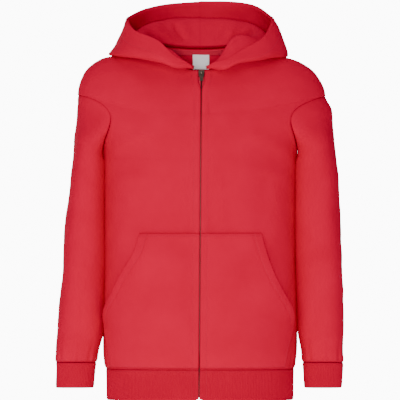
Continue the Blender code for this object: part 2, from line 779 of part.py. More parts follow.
def main():
    for old in list(bpy.data.objects):
        bpy.data.objects.remove(old, do_unlink=True)

    fleece = material("fleece", (0.62, 0.010, 0.032), 0.9)
    rib = material("rib_knit", (0.50, 0.008, 0.024), 0.9)
    tape = material("woven_tape", (0.45, 0.008, 0.022), 0.85)
    metal = material("dark_brass", (0.14, 0.10, 0.07), 0.4, 1.0)
    white = material("label_satin", (0.85, 0.85, 0.85), 0.6)

    for name, side in (("left", 1), ("right", -1)):
        cloth("front_" + name, on_torso(front_places(side)), FLEECE, fleece)
        build_sleeve("sleeve_" + name, side, fleece)
        build_cuff("cuff_" + name, side, rib)
        build_hood("hood_" + name, side, 0.0, fleece)
        build_hood("hood_lining_" + name, side, HOOD_CLOTH + HOOD_LAYER_GAP, fleece)
        cloth("pocket_" + name, on_torso(pocket_places(side), pocket_lift(side)), FLEECE, fleece)
        cloth(
            "zip_tape_" + name,
            on_torso(zip_places(side, 0.0004, ZIP_TAPE_WIDTH, 2), zip_tape_lift),
            TAPE,
            tape,
        )
        cloth(
            "zip_chain_" + name,
            on_torso(zip_places(side, CHAIN_INNER, CHAIN_OUTER, 1), -CHAIN_SUNK),
            FLEECE - CHAIN_SUNK,
            metal,
        )
    cloth("back", on_torso(back_places()), FLEECE, fleece)
    cloth("waistband", on_torso(waistband_places()), RIB, rib)
    build_neck_tape(tape)
    build_label(white)
    build_slider(metal)


main()
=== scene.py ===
import math
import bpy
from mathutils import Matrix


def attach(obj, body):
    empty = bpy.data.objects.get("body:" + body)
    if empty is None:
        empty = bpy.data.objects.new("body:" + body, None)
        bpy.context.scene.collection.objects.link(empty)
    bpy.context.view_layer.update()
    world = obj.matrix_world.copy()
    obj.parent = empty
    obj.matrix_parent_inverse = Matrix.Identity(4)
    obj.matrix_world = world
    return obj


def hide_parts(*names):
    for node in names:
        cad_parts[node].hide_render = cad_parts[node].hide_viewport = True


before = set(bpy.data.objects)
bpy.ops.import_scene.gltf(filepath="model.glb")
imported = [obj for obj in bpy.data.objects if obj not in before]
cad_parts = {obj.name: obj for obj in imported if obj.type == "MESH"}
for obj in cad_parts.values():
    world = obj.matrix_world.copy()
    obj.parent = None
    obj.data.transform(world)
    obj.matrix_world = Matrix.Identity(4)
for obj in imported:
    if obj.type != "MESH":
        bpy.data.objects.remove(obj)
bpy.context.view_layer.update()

from types import SimpleNamespace

import bmesh
import bpy
import numpy as np
from mathutils import Matrix, Vector

# A child's zipped hooded sweatshirt, hollow and filled out as it is when worn.
# Metres. The wearer faces -Y and the wearer's left is at +X.

mm = 0.001

camera = {"distance": 10.0, "frameWidth": 0.6, "middleHeight": -0.21, "sensor": 36.0}
studio = {
    "floorHeight": -0.60,
    "floorRadius": 2.2,
    "paper": (0.93, 0.93, 0.93),
    "paperGlow": 0.5,
    "backgroundForCamera": 11.0,
    "ambient": 0.25,
    "keyPower": 40.0,
    "keySize": 2.2,
    "keyPlace": (-1.5, -3.0, 1.5),
    "fillPower": 160.0,
    "fillSize": 0.8,
    "fillPlace": (-0.15, -5.2, -0.12),
    "topPower": 14.0,
    "topPlace": (0.0, 0.4, 2.4),
    "topSize": 1.6,
    "backPower": 90.0,
    "backPlace": (-1.2, 3.6, 0.5),
    "backSize": 2.6,
}


def buildStudio():
    scene = bpy.context.scene
    data = bpy.data.cameras.new("camera")
    data.sensor_width = camera["sensor"]
    data.lens = camera["sensor"] * camera["distance"] / camera["frameWidth"]
    data.clip_end = 60.0
    eye = bpy.data.objects.new("camera", data)
    eye.location = (0.0, -camera["distance"], camera["middleHeight"])
    eye.rotation_euler = (math.radians(90), 0.0, 0.0)
    scene.collection.objects.link(eye)
    scene.camera = eye

    bm = bmesh.new()
    bmesh.ops.create_circle(bm, cap_ends=True, segments=96, radius=studio["floorRadius"])
    for v in bm.verts:
        v.co.z = studio["floorHeight"]
    mesh = bpy.data.meshes.new("floor")
    bm.to_mesh(mesh)
    bm.free()
    floor = bpy.data.objects.new("floor", mesh)
    scene.collection.objects.link(floor)
    paper = bpy.data.materials.new("palePaper")
    paper.use_nodes = True
    shader = paper.node_tree.nodes["Principled BSDF"]
    shader.inputs["Base Color"].default_value = (*studio["paper"], 1.0)
    shader.inputs["Roughness"].default_value = 0.9
    shader.inputs["Emission Color"].default_value = (*studio["paper"], 1.0)
    shader.inputs["Emission Strength"].default_value = studio["paperGlow"]
    mesh.materials.append(paper)

    world = bpy.data.worlds.new("softStudio")
    world.use_nodes = True
    tree = world.node_tree
    tree.nodes.clear()
    rays = tree.nodes.new("ShaderNodeLightPath")
    seen = tree.nodes.new("ShaderNodeBackground")
    lit = tree.nodes.new("ShaderNodeBackground")
    seen.inputs["Color"].default_value = (1.0, 1.0, 1.0, 1.0)
    seen.inputs["Strength"].default_value = studio["backgroundForCamera"]
    lit.inputs["Color"].default_value = (0.96, 0.98, 1.0, 1.0)
    lit.inputs["Strength"].default_value = studio["ambient"]
    mix = tree.nodes.new("ShaderNodeMixShader")
    out = tree.nodes.new("ShaderNodeOutputWorld")
    tree.links.new(rays.outputs["Is Camera Ray"], mix.inputs["Fac"])
    tree.links.new(lit.outputs[0], mix.inputs[1])
    tree.links.new(seen.outputs[0], mix.inputs[2])
    tree.links.new(mix.outputs[0], out.inputs["Surface"])
    scene.world = world

    aim = Vector((0.0, 0.0, camera["middleHeight"]))
    for name in ("key", "fill", "top", "back"):
        light = bpy.data.lights.new(name, "AREA")
        light.shape = "DISK"
        light.size = studio[name + "Size"]
        light.energy = studio[name + "Power"]
        lamp = bpy.data.objects.new(name, light)
        lamp.location = studio[name + "Place"]
        lamp.rotation_euler = (aim - lamp.location).to_track_quat("-Z", "Y").to_euler()
        scene.collection.objects.link(lamp)
    print("studio ready")


buildStudio()


# The garment's surfaces, the same ones that its solids are cut from.


def curveThrough(places, values):
    # A smooth curve through the values that doesn't overshoot between them.
    at, value = np.array(places, float), np.array(values, float)
    rises = np.diff(value) / np.diff(at)
    tangents = [rises[0]]
    for before, after in zip(rises, rises[1:]):
        turns = before * after <= 0
        tangents.append(0.0 if turns else 2 * before * after / (before + after))
    tangents = np.array(tangents + [rises[-1]])

    def read(x):
        x = np.asarray(x, float)
        i = np.clip(np.searchsorted(at, x, side="right") - 1, 0, len(at) - 2)
        width = at[i + 1] - at[i]
        t = (x - at[i]) / width
        inside = (
            value[i] * (2 * t**3 - 3 * t**2 + 1)
            + tangents[i] * width * (t**3 - 2 * t**2 + t)
            + value[i + 1] * (3 * t**2 - 2 * t**3)
            + tangents[i + 1] * width * (t**3 - t**2)
        )
        low = value[0] + tangents[0] * (x - at[0])
        high = value[-1] + tangents[-1] * (x - at[-1])
        return np.where(x < at[0], low, np.where(x > at[-1], high, inside))

    return read


def readTable(columns, rows):
    names = columns.split()
    places = [row[0] for row in rows]
    curves = {name: curveThrough(places, [row[i] for row in rows]) for i, name in enumerate(names)}

    def read(at):
        return SimpleNamespace(**{name: curve(at) for name, curve in curves.items()})

    return read


def smoothStep(low, high, value):
    t = np.clip((value - low) / (high - low), 0.0, 1.0)
    return t * t * (3 - 2 * t)


def near(distance, width):
    # 1 at an edge or a line, fading over the width to each side.
    return np.exp(-((distance / width) ** 2))


def unitRing(angle, squareness):
    s, c = np.sin(np.radians(angle)), np.cos(np.radians(angle))
    size = (np.abs(s) ** squareness + np.abs(c) ** squareness) ** (-1 / squareness)
    return s * size, c * size


bodyCut = {
    "columns": "level zFront zSide zBack halfWidth depthFront depthBack squareness",
    "rows": (
        (-1.0, -0.5050, -0.5050, -0.5050, 0.1400, 0.0910, 0.0850, 2.35),
        (-0.15, -0.4690, -0.4690, -0.4690, 0.1405, 0.0940, 0.0870, 2.35),
        (0.0, -0.4625, -0.4625, -0.4625, 0.1415, 0.0965, 0.0890, 2.35),
        (1.0, -0.4300, -0.4300, -0.4300, 0.1450, 0.1030, 0.0950, 2.35),
        (2.0, -0.3700, -0.3700, -0.3700, 0.1455, 0.1030, 0.0935, 2.35),
        (3.0, -0.2900, -0.2900, -0.2900, 0.1455, 0.1010, 0.0915, 2.35),
        (4.0, -0.2100, -0.2100, -0.2100, 0.1465, 0.0990, 0.0930, 2.35),
        (5.0, -0.1500, -0.1500, -0.1500, 0.1480, 0.0970, 0.0955, 2.35),
        (6.0, -0.1120, -0.1020, -0.1080, 0.1620, 0.0945, 0.0965, 2.30),
        (7.0, -0.0790, -0.0540, -0.0660, 0.1835, 0.0890, 0.0945, 1.96),
        (8.0, -0.0590, -0.0230, -0.0400, 0.1745, 0.0830, 0.0885, 1.96),
        (9.0, -0.0440, -0.0030, -0.0170, 0.1500, 0.0770, 0.0790, 2.02),
        (10.0, -0.0310, 0.0095, 0.0020, 0.1110, 0.0700, 0.0672, 2.10),
        (11.0, -0.0165, 0.0250, 0.0180, 0.0720, 0.0610, 0.0580, 2.10),
    ),
    "underarm": 5.0,
    "shoulder": 7.0,
    "neck": 11.0,
    "fleece": 0.0022,
    "seamGap": 0.0003,
    "shoulderEase": {
        "leftOut": 0.0050,
        "outAt": 6.9,
        "outSpan": 0.9,
        "rightLift": 0.0042,
        "liftFrom": (5.5, 7.5),
        "liftX": -0.152,
        "liftWidth": 0.032,
    },
}
armholeCut = {
    "front": 36.0,  # reach from the side seam in degrees, and so the next
    "back": 30.0,
    "power": 0.62,
    "skew": 0.50,
    "levelHeight": 0.048,
    "reachRadius": 0.11,
}
bodyAt = readTable(bodyCut["columns"], bodyCut["rows"])


def bodyPoint(level, angle):
    # Angle 0 is the middle of the front, 90 the wearer's left side, 180 the middle of the back.
    level, angle = np.broadcast_arrays(np.asarray(level, float), np.asarray(angle, float))
    row = bodyAt(level)
    across, forward = unitRing(angle, row.squareness)
    ahead = forward > 0
    depth = np.where(ahead, row.depthFront, row.depthBack)
    zEnd = np.where(ahead, row.zFront, row.zBack)
    share = np.cos(np.radians(angle)) ** 2
    z = row.zSide + (zEnd - row.zSide) * share
    x = row.halfWidth * across
    # One shoulder lies a little higher and the other stands out a little more.
    ease = bodyCut["shoulderEase"]
    x = x + ease["leftOut"] * near(level - ease["outAt"], ease["outSpan"]) * np.maximum(across, 0.0) ** 2
    lifted = near(x - ease["liftX"], ease["liftWidth"]) * smoothStep(*ease["liftFrom"], level)
    z = z + ease["rightLift"] * lifted
    return np.stack([x, -depth * forward, z], axis=-1)


def unit(vectors):
    return vectors / np.maximum(np.linalg.norm(vectors, axis=-1, keepdims=True), 1e-12)


def surfaceNormal(surface, u, v, stepU=0.01, stepV=0.5):
    alongU = surface(u + stepU, v) - surface(u - stepU, v)
    alongV = surface(u, v + stepV) - surface(u, v - stepV)
    return unit(np.cross(alongV, alongU))


def bodyNormal(level, angle):
    return surfaceNormal(bodyPoint, level, angle)


def frontAngle(level, x):
    row = bodyAt(level)
    share = np.minimum(np.abs(x) / row.halfWidth, 0.9999)
    forward = (1 - share**row.squareness) ** (1 / row.squareness)
    return np.copysign(np.degrees(np.arctan2(share, forward)), x)


levelSamples = np.linspace(-1.0, 5.0, 1201)
sideHeights = bodyAt(levelSamples).zSide
frontSamples = np.linspace(-1.0, 11.0, 2401)
frontHeights = bodyAt(frontSamples).zFront


def levelOf(z):
    return np.interp(z, sideHeights, levelSamples)


def frontLevelOf(z):
    return np.interp(z, frontHeights, frontSamples)


zipLine = {
    "xTop": 0.0022,
    "xBottom": -0.0015,
    "slot": 0.0016,
    "sliderSlot": 0.0054,
    "sliderHeight": -0.0225,
    "partedBelow": 0.0075,
    "partedOver": 0.016,
    "topLevel": 10.7,
}


def zipX(z):
    bottom, top = bodyCut["rows"][0][1], bodyCut["rows"][-1][1]
    return zipLine["xBottom"] + (zipLine["xTop"] - zipLine["xBottom"]) * (z - bottom) / (top - bottom)


def slotHalfWidth(z):
    # The front edges part round the slider at the top of the zip.
    foot = zipLine["sliderHeight"] - zipLine["partedBelow"]
    parted = smoothStep(foot - zipLine["partedOver"], foot, z)
    return zipLine["slot"] + (zipLine["sliderSlot"] - zipLine["slot"]) * parted


def armholeAt(psi, grown=0.0):
    # Level and reach from the side seam in degrees. Psi is 0 at the shoulder, 180 under the arm.
    middle = (bodyCut["shoulder"] + bodyCut["underarm"]) / 2
    half = (bodyCut["shoulder"] - bodyCut["underarm"]) / 2 + grown / armholeCut["levelHeight"]
    cosine = np.cos(np.radians(psi))
    sine = np.abs(np.sin(np.radians(psi)))
    shape = sine ** armholeCut["power"] * (1 + armholeCut["skew"] * cosine)
    extra = math.degrees(grown / armholeCut["reachRadius"])
    return middle + half * cosine, (armholeCut["front"] + extra) * shape, (armholeCut["back"] + extra) * shape


sleeveCut = {
    "columns": "z leftOuter leftInner rightOuter rightInner middleY depthFront depthBack squareness",
    "rows": (
        (-0.4900, 0.2125, 0.1560, 0.2160, 0.1590, -0.0120, 0.0195, 0.0195, 2.2),
        (-0.4590, 0.2145, 0.1540, 0.2150, 0.1560, -0.0120, 0.0215, 0.0215, 2.2),
        (-0.4530, 0.2150, 0.1530, 0.2165, 0.1545, -0.0120, 0.0255, 0.0255, 2.2),
        (-0.4350, 0.2148, 0.1512, 0.2160, 0.1512, -0.0115, 0.0330, 0.0330, 2.2),
        (-0.4050, 0.2162, 0.1455, 0.2148, 0.1435, -0.0105, 0.0370, 0.0375, 2.2),
        (-0.3600, 0.2150, 0.1435, 0.2120, 0.1420, -0.0090, 0.0420, 0.0430, 2.25),
        (-0.3000, 0.2132, 0.1405, 0.2055, 0.1395, -0.0070, 0.0475, 0.0490, 2.3),
        (-0.2400, 0.2115, 0.1390, 0.2020, 0.1400, -0.0040, 0.0520, 0.0540, 2.3),
        (-0.1800, 0.2075, 0.1385, 0.1945, 0.1395, -0.0015, 0.0555, 0.0580, 2.3),
        (-0.1350, 0.2030, 0.1385, 0.1900, 0.1395, 0.0, 0.0580, 0.0610, 2.3),
        (-0.0900, 0.1985, 0.1385, 0.1860, 0.1395, 0.0, 0.0580, 0.0620, 2.3),
        (-0.0540, 0.1925, 0.1385, 0.1845, 0.1395, 0.0, 0.0560, 0.0610, 2.3),
    ),
    "cuffSeam": -0.4530,
    "cuffEnd": -0.4900,
    "clear": -0.0010,
    "clearAtCuff": 0.0026,
    "openFrom": -0.415,
    "openOver": 0.03,
    "soften": 0.0010,
    "fade": 0.055,
    "underarmFade": 0.008,
}
sleeveAt = readTable(sleeveCut["columns"], sleeveCut["rows"])


def bodySide(y, z):
    row = bodyAt(levelOf(z))
    depth = np.where(y < 0, row.depthFront, row.depthBack)
    share = np.minimum(np.abs(y) / depth, 1.0)
    return row.halfWidth * (1 - share**row.squareness) ** (1 / row.squareness)


def sleeveTube(side, z, around):
    # Around is 0 on the outer side of the arm, 90 at its front and 180 beside the body.
    row = sleeveAt(z)
    outer, inner = (row.leftOuter, row.leftInner) if side > 0 else (row.rightOuter, row.rightInner)
    forward, outward = unitRing(around, row.squareness)
    x = (outer + inner) / 2 + (outer - inner) / 2 * outward
    depth = np.where(forward > 0, row.depthFront, row.depthBack)
    y = row.middleY - depth * forward
    opening = smoothStep(sleeveCut["openFrom"], sleeveCut["openFrom"] - sleeveCut["openOver"], z)
    beside = bodySide(y, z) + sleeveCut["clear"] + (sleeveCut["clearAtCuff"] - sleeveCut["clear"]) * opening
    x = (x + beside + np.sqrt((x - beside) ** 2 + sleeveCut["soften"] ** 2)) / 2
    z = np.broadcast_to(z, x.shape)
    return np.stack([side * x, y, z], axis=-1)


def armholePlace(side, around):
    turned = np.where(around <= 180, around, 360 - around)
    level, front, back = armholeAt(turned, -bodyCut["seamGap"])
    return level, side * (90 - np.where(around <= 180, front, -back))


def sleevePoint(side, down, around):
    # Down is 0 at the armhole and 1 at the cuff's seam.
    down, around = np.broadcast_arrays(np.asarray(down, float), np.asarray(around, float) % 360)
    seam = bodyPoint(*armholePlace(side, around))
    seamZ = seam[..., 2]
    z = seamZ + (sleeveCut["cuffSeam"] - seamZ) * down
    beside = (1 - np.cos(np.radians(around))) / 2
    reach = sleeveCut["fade"] + (sleeveCut["underarmFade"] - sleeveCut["fade"]) * beside
    fade = (1 - smoothStep(0.0, reach, seamZ - z))[..., None]
    return sleeveTube(side, z, around) + (seam - sleeveTube(side, seamZ, around)) * fade


def sleeveNormal(side, down, around):
    down, around = np.broadcast_arrays(np.asarray(down, float), np.asarray(around, float))
    surface = lambda u, v: sleevePoint(side, u, v)
    own = surfaceNormal(surface, np.where(down < 0.005, down + 0.004, down), around, 0.004, 1.0) * side
    beside = ((1 - np.cos(np.radians(around))) / 2)[..., None]
    shared = bodyNormal(*armholePlace(side, around % 360))
    start = smoothStep(0.012, 0.0, down)[..., None] * (1 - beside)
    return unit(own * (1 - start) + shared * start)


hoodCut = {
    "columns": (
        "azimuth ridgeR ridgeZ legR legZ inR inZ foldR foldZ outR outZ wallR wallZ rimR rimZ"
    ),
    "rows": (
        (0, 61, -15.8, 61.6, -15.7, 62.2, -15.6, 62.8, -15.5, 63.4, -15.4, 64, -15.2, 64.6, -15),
        (7, 61.8, -15.4, 63.2, -15.2, 64.8, -15, 66.4, -14.7, 67.8, -14.3, 68.8, -13.7, 69.2, -12.9),
        (14, 63, -14, 65.6, -13.6, 68.4, -13, 71.2, -11.8, 73.6, -9.8, 74.8, -7.4, 74.6, -4.8),
        (28, 70, -6.5, 75, -6.2, 80, -8, 86, -9, 91, -6, 91.5, 0, 86, 9),
        (45, 76, 9.5, 81, 8.5, 85, 2.5, 91, -3.5, 98.5, -2, 102, 8, 89, 28),
        (70, 84, 27, 95, 19, 103, 8.5, 110, 3, 117, 6, 120, 18, 105, 44),
        (92, 88, 39, 103, 30, 110, 17, 119, 8, 130, 9.5, 129.5, 25, 111, 61),
        (112, 88, 47, 105, 29, 112, 12, 120, 3, 131, 7, 134, 24, 113, 68),
        (135, 87, 56, 107, 24, 112, -15, 121, -30, 133, -19, 141, 18, 116, 79.5),
        (158, 88, 60, 107, 21, 112, -36, 122, -54, 135, -38, 143, 16, 119, 87.5),
        (180, 89, 61, 107, 20, 112, -42, 122.5, -62, 136, -45, 144, 14, 120, 91),
    ),
    "knots": (
        ("ridge", 0.0), ("leg", 0.0), ("in", 0.0), ("fold", 0.1), ("out", 0.2), ("wall", 0.5), ("rim", 1.0),
    ),
    "cloth": 0.0019,
    "layerGap": 0.0008,
    "seamGap": 0.0006,
    "start": 8.0,
    "lapelDrop": {"left": 0.013, "right": 0.0},
    "lapelDropAt": 48.0,
    "lapelDropSpan": 40.0,
    # how the hood has settled on each side: azimuth, its span, then mm out and up for named knots
    "settled": {
        "left": (
            (24, 10, {"in": (0, -3), "fold": (0, -6), "out": (0, -6), "wall": (0, -4), "rim": (0, -1.5)}),
            (50, 16, {"ridge": (-8, 16), "leg": (-10, 14), "in": (-5, 6), "rim": (2, 0)}),
            (30, 12, {"ridge": (-1, 5), "leg": (-2, 5), "in": (0, 2)}),
            (94, 24, {"fold": (1, -2), "out": (2.5, -4), "wall": (-0.5, -1)}),
            (136, 20, {"wall": (0, 2.5), "rim": (0, 5)}),
            (162, 16, {"wall": (0, 1), "rim": (0, 2)}),
        ),
        "right": (
            (24, 10, {"in": (0, -3), "fold": (0, -5), "out": (0, -5), "wall": (0, -4), "rim": (0, -2.5)}),
            (33, 14, {"ridge": (0, 8), "leg": (-2, 7), "in": (-1, 3)}),
            (92, 24, {"fold": (2, -1), "out": (7, -1), "wall": (-4, 0)}),
        ),
    },
}
hoodAt = readTable(hoodCut["columns"], hoodCut["rows"])


def splinePoint(knots, t):
    # A smooth curve through evenly timed knots. Knots and t are arrays, t from 0 to 1.
    spans = len(knots) - 1
    first = 2 * knots[0] - knots[1]
    last = 2 * knots[-1] - knots[-2]
    padded = np.concatenate([first[None], knots, last[None]])
    i = np.minimum((t * spans).astype(int), spans - 1)
    s = t * spans - i
    place = np.indices(t.shape)
    p0, p1, p2, p3 = (padded[(i + k, *place)] for k in range(4))
    return 0.5 * (
        2 * p1 + (p2 - p0) * s + (2 * p0 - 5 * p1 + 4 * p2 - p3) * s**2 + (3 * p1 - p0 - 3 * p2 + p3) * s**3
    )


def hoodPoint(side, up, angle):
    # Up is 0 at the neck seam and 1 at the rim.
    up, angle = np.broadcast_arrays(np.asarray(up, float), np.asarray(angle, float))
    folded = np.where(angle > 180, 360 - angle, angle)
    seam = bodyPoint(np.full(folded.shape, bodyCut["neck"]), folded)
    azimuth = np.degrees(np.arctan2(seam[..., 0], -seam[..., 1]))
    row = hoodAt(azimuth)
    away = np.minimum(np.abs(azimuth - hoodCut["lapelDropAt"]) / hoodCut["lapelDropSpan"], 1.0)
    who = "left" if side > 0 else "right"
    drop = hoodCut["lapelDrop"][who] * (1 - away * away) ** 2
    r = [np.hypot(seam[..., 0], seam[..., 1])]
    z = [seam[..., 2] + hoodCut["seamGap"]]
    for name, falls in hoodCut["knots"]:
        knotR, knotZ = getattr(row, name + "R"), getattr(row, name + "Z")
        for at, span, knots in hoodCut["settled"][who]:
            out, rise = knots.get(name, (0, 0))
            share = near(azimuth - at, span)
            knotR, knotZ = knotR + out * share, knotZ + rise * share
        r.append(knotR * mm)
        z.append(knotZ * mm - drop * falls)
    t = np.clip(up, 0.0, 1.0)
    r, z = splinePoint(np.array(r), t), splinePoint(np.array(z), t)
    direction = np.radians(azimuth)
    x = r * np.sin(direction) * np.where(angle > 180, -1, 1)
    return np.stack([side * x, -r * np.cos(direction), z], axis=-1)


def hoodNormal(side, up, angle):
    surface = lambda u, v: hoodPoint(side, u, v)
    return surfaceNormal(surface, np.clip(up, 0.012, 0.988), angle, 0.01, 0.5) * side


# Cloth is a wall with real thickness, made from a grid of points.


def arcFromStart(points, axis):
    # Distance along the grid from its first row or column, at every point.
    steps = np.linalg.norm(np.diff(points, axis=axis), axis=-1)
    total = np.cumsum(steps, axis=axis)
    zero = np.zeros_like(np.take(total, [0], axis=axis))
    return np.concatenate([zero, total], axis=axis)


farAway = 9.0  # metres, for an edge that a tube doesn't have


def edgeDistances(points, closed=False):
    # Metres to the grid's first row, last row, first column and last column.
    rows, columns = arcFromStart(points, 0), arcFromStart(points, 1)
    far = np.full(points.shape[:2], farAway)
    return SimpleNamespace(
        first=rows,
        last=rows[-1:] - rows,
        left=far if closed else columns,
        right=far if closed else columns[:, -1:] - columns,
    )


def softWaves(points, seed, shortest, longest, amount, stretch=(1.0, 1.0, 1.0), count=14):
    # Gentle unevenness: waves of random lengths and directions, the same ones on every run.
    random = np.random.default_rng(seed)
    total = np.zeros(points.shape[:-1])
    for _ in range(count):
        direction = unit(random.normal(size=3)) / np.array(stretch)
        length = random.uniform(shortest, longest)
        total += np.sin(points @ direction * (2 * math.pi / length) + random.uniform(0, 2 * math.pi))
    return total * amount / math.sqrt(count)


def toLine(points, line):
    # Distance to a line of (x, z) points seen from the front, and how far along it, 0 to 1.
    flat = points[..., [0, 2]]
    best = np.full(points.shape[:-1], farAway)
    along = np.zeros(points.shape[:-1])
    spans = len(line) - 1
    for k, (start, end) in enumerate(zip(line, line[1:])):
        a, b = np.array(start) * mm, np.array(end) * mm
        t = np.clip(((flat - a) @ (b - a)) / ((b - a) @ (b - a)), 0, 1)
        gap = np.linalg.norm(flat - (a + t[..., None] * (b - a)), axis=-1)
        nearer = gap < best
        along = np.where(nearer, (k + t) / spans, along)
        best = np.minimum(best, gap)
    return best, along


foldShape = {
    "endFade": 0.3,  # share of its length over which a fold fades at each end
    "hollow": 0.35,  # depth of the wider hollow round it, as a share of its height
    "hollowWidth": 2.4,
    "pastSide": 0.012,  # how far past the side of the body it still shows
}


def foldRelief(points, folds, front=True):
    # Each fold is a height in mm, a half width in mm and its line. It fades towards both ends.
    shape = foldShape
    total = np.zeros(points.shape[:-1])
    facing = points[..., 1] < shape["pastSide"] if front else points[..., 1] > -shape["pastSide"]
    for height, width, line in folds:
        gap, along = toLine(points, line)
        ends = smoothStep(0.0, shape["endFade"], along) * smoothStep(1.0, 1.0 - shape["endFade"], along)
        wide = width * mm
        crease = near(gap, wide) - shape["hollow"] * near(gap, shape["hollowWidth"] * wide)
        total += height * mm * crease * ends
    return total * facing


def gridFaces(height, width, closed):
    last = width if closed else width - 1
    i, j = np.meshgrid(np.arange(height - 1), np.arange(last), indexing="ij")
    k = (j + 1) % width
    corners = np.stack([i * width + j, i * width + k, (i + 1) * width + k, (i + 1) * width + j], -1)
    around = ((i, j), (i, j + 1), (i + 1, j + 1), (i + 1, j))
    places = np.stack([np.stack(corner, -1) for corner in around], -2)
    return corners.reshape(-1, 4), places.reshape(-1, 4, 2)


def edgeLoops(height, width, closed):
    if closed:
        return [[(0, j) for j in range(width)], [(height - 1, j) for j in range(width)]]
    loop = [(0, j) for j in range(width)]
    loop += [(i, width - 1) for i in range(1, height)]
    loop += [(height - 1, j) for j in range(width - 2, -1, -1)]
    loop += [(i, 0) for i in range(height - 2, 0, -1)]
    return [loop]


def wallMesh(name, points, normals, thickness, closed=False, roll=(0, 0, 0, 0), marks=None):
    # Roll rounds the first row's, last row's, first column's and last column's edge outwards,
    # as shares of the thickness. Marks are point attributes, such as how near a seam is.
    height, width = points.shape[:2]
    outer = points.reshape(-1, 3)
    inner = (points - normals * thickness).reshape(-1, 3)
    # The UV map is the cloth laid flat, in metres.
    uv = np.stack([arcFromStart(points, 1), arcFromStart(points, 0)], -1)
    uv[..., 0] -= uv[:, width // 2 : width // 2 + 1, 0]
    if closed:
        around = np.linalg.norm(points[:, 0] - points[:, -1], axis=-1)
        lastUv = uv[:, -1] + np.stack([around, np.zeros(height)], -1)
        uv = np.concatenate([uv, lastUv[:, None]], 1)
    quads, places = gridFaces(height, width, closed)
    count = height * width
    a, b, c = outer[quads[:, 0]], outer[quads[:, 1]], outer[quads[:, 3]]
    middle = normals.reshape(-1, 3)[quads[:, 0]]
    turned = np.sum(np.cross(b - a, c - a) * middle) < 0
    outside = quads[:, ::-1] if turned else quads
    inside = (quads if turned else quads[:, ::-1]) + count
    outsideUv = uv[places[..., 0], places[..., 1]]
    faceUvs = [outsideUv[:, ::-1] if turned else outsideUv, outsideUv if turned else outsideUv[:, ::-1]]
    faces = [outside, inside]
    extra = []
    for loop in edgeLoops(height, width, closed):
        ring = []
        for i, j in loop:
            push = np.zeros(3)
            share = 0.0
            checks = [(i == 0, (1, 0), roll[0]), (i == height - 1, (-1, 0), roll[1])]
            if not closed:
                checks += [(j == 0, (0, 1), roll[2]), (j == width - 1, (0, -1), roll[3])]
            for atEdge, step, amount in checks:
                if atEdge:
                    away = points[i, j] - points[i + step[0], j + step[1]]
                    push += away / max(np.linalg.norm(away), 1e-9) * amount
                    share = max(share, amount)
            ring.append((points[i, j] - normals[i, j] * thickness / 2) + push * thickness)
        start = 2 * count + sum(len(e) for e in extra)
        extra.append(ring)
        n = len(loop)
        index = [i * width + j for i, j in loop]
        flips = closed and loop[0][0] == height - 1
        strip = []
        stripUv = []
        for s in range(n):
            t = (s + 1) % n
            uvS, uvT = uv[loop[s][0], loop[s][1]], uv[loop[t][0], loop[t][1]]
            for low, high in (((index[s], index[t]), (start + s, start + t)),
                              ((start + s, start + t), (index[s] + count, index[t] + count))):
                face = (low[1], low[0], high[0], high[1])
                faceUv = (uvT, uvS, uvS, uvT)
                if turned != flips:
                    face, faceUv = face[::-1], faceUv[::-1]
                strip.append(face)
                stripUv.append(faceUv)
        faces.append(np.array(strip))
        faceUvs.append(np.array(stripUv))
    verts = np.concatenate([outer, inner] + [np.array(ring) for ring in extra])
    faces = np.concatenate(faces)
    mesh = bpy.data.meshes.new(name)
    mesh.from_pydata(verts.tolist(), [], faces.tolist())
    layer = mesh.uv_layers.new(name="cloth")
    layer.data.foreach_set("uv", np.concatenate(faceUvs).reshape(-1).astype(np.float32))
    for label, values in (marks or {}).items():
        flat = values.reshape(-1)
        perLoop = [values[i, j] for loop in edgeLoops(height, width, closed) for i, j in loop]
        attribute = mesh.attributes.new(label, "FLOAT", "POINT")
        attribute.data.foreach_set("value", np.concatenate([flat, flat, perLoop]).astype(np.float32))
    mesh.shade_smooth()
    return mesh


def addPiece(name, mesh, material, body="garment", replaces=()):
    first, *rest = name.split("_")
    own = first + "".join(word.capitalize() for word in rest)
    obj = bpy.data.objects.new(own + "Cloth" if own in replaces else own, mesh)
    bpy.context.scene.collection.objects.link(obj)
    mesh.materials.clear()
    mesh.materials.append(material)
    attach(obj, body)
    if replaces:
        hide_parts(*replaces)
    return obj


def clothPiece(name, points, normals, thickness, material, slot="fleece", seam=None, **shape):
    # A wall of cloth as a piece of its own, and the grid that stitches are taken from.
    # The seam mark is painted shade along seams and stitching lines, darkened in the material.
    marks = {} if seam is None else {"seam": seam}
    mesh = wallMesh(name, points, normals, thickness, marks=marks, **shape)
    piece = addPiece(name, mesh, material, replaces=(name,))
    return piece, SimpleNamespace(points=points, normals=normals)


def onBothSides(build, *more):
    return {name: build(name, side, *more) for name, side in (("left", 1), ("right", -1))}


# Materials, and the node groups that several of them share.


def makeGroup(name, inputs, outputs, treeKind="ShaderNodeTree"):
    # An input is its name, its kind of socket and perhaps a value, and an output its name and kind.
    group = bpy.data.node_groups.new(name, treeKind)
    for label, kind, *value in inputs:
        socket = group.interface.new_socket(label, in_out="INPUT", socket_type="NodeSocket" + kind)
        if value:
            socket.default_value = value[0]
    for label, kind in outputs:
        group.interface.new_socket(label, in_out="OUTPUT", socket_type="NodeSocket" + kind)
    return group, group.nodes.new("NodeGroupInput"), group.nodes.new("NodeGroupOutput")


def newNode(tree, kind, links=(), values=None, **settings):
    # Settings are the node's own. Values and links go to its sockets, by name.
    node = tree.nodes.new(kind)
    for label, value in settings.items():
        setattr(node, label, value)
    for label, value in (values or {}).items():
        node.inputs[label].default_value = value
    for label, source in links:
        tree.links.new(source, node.inputs[label])
    return node


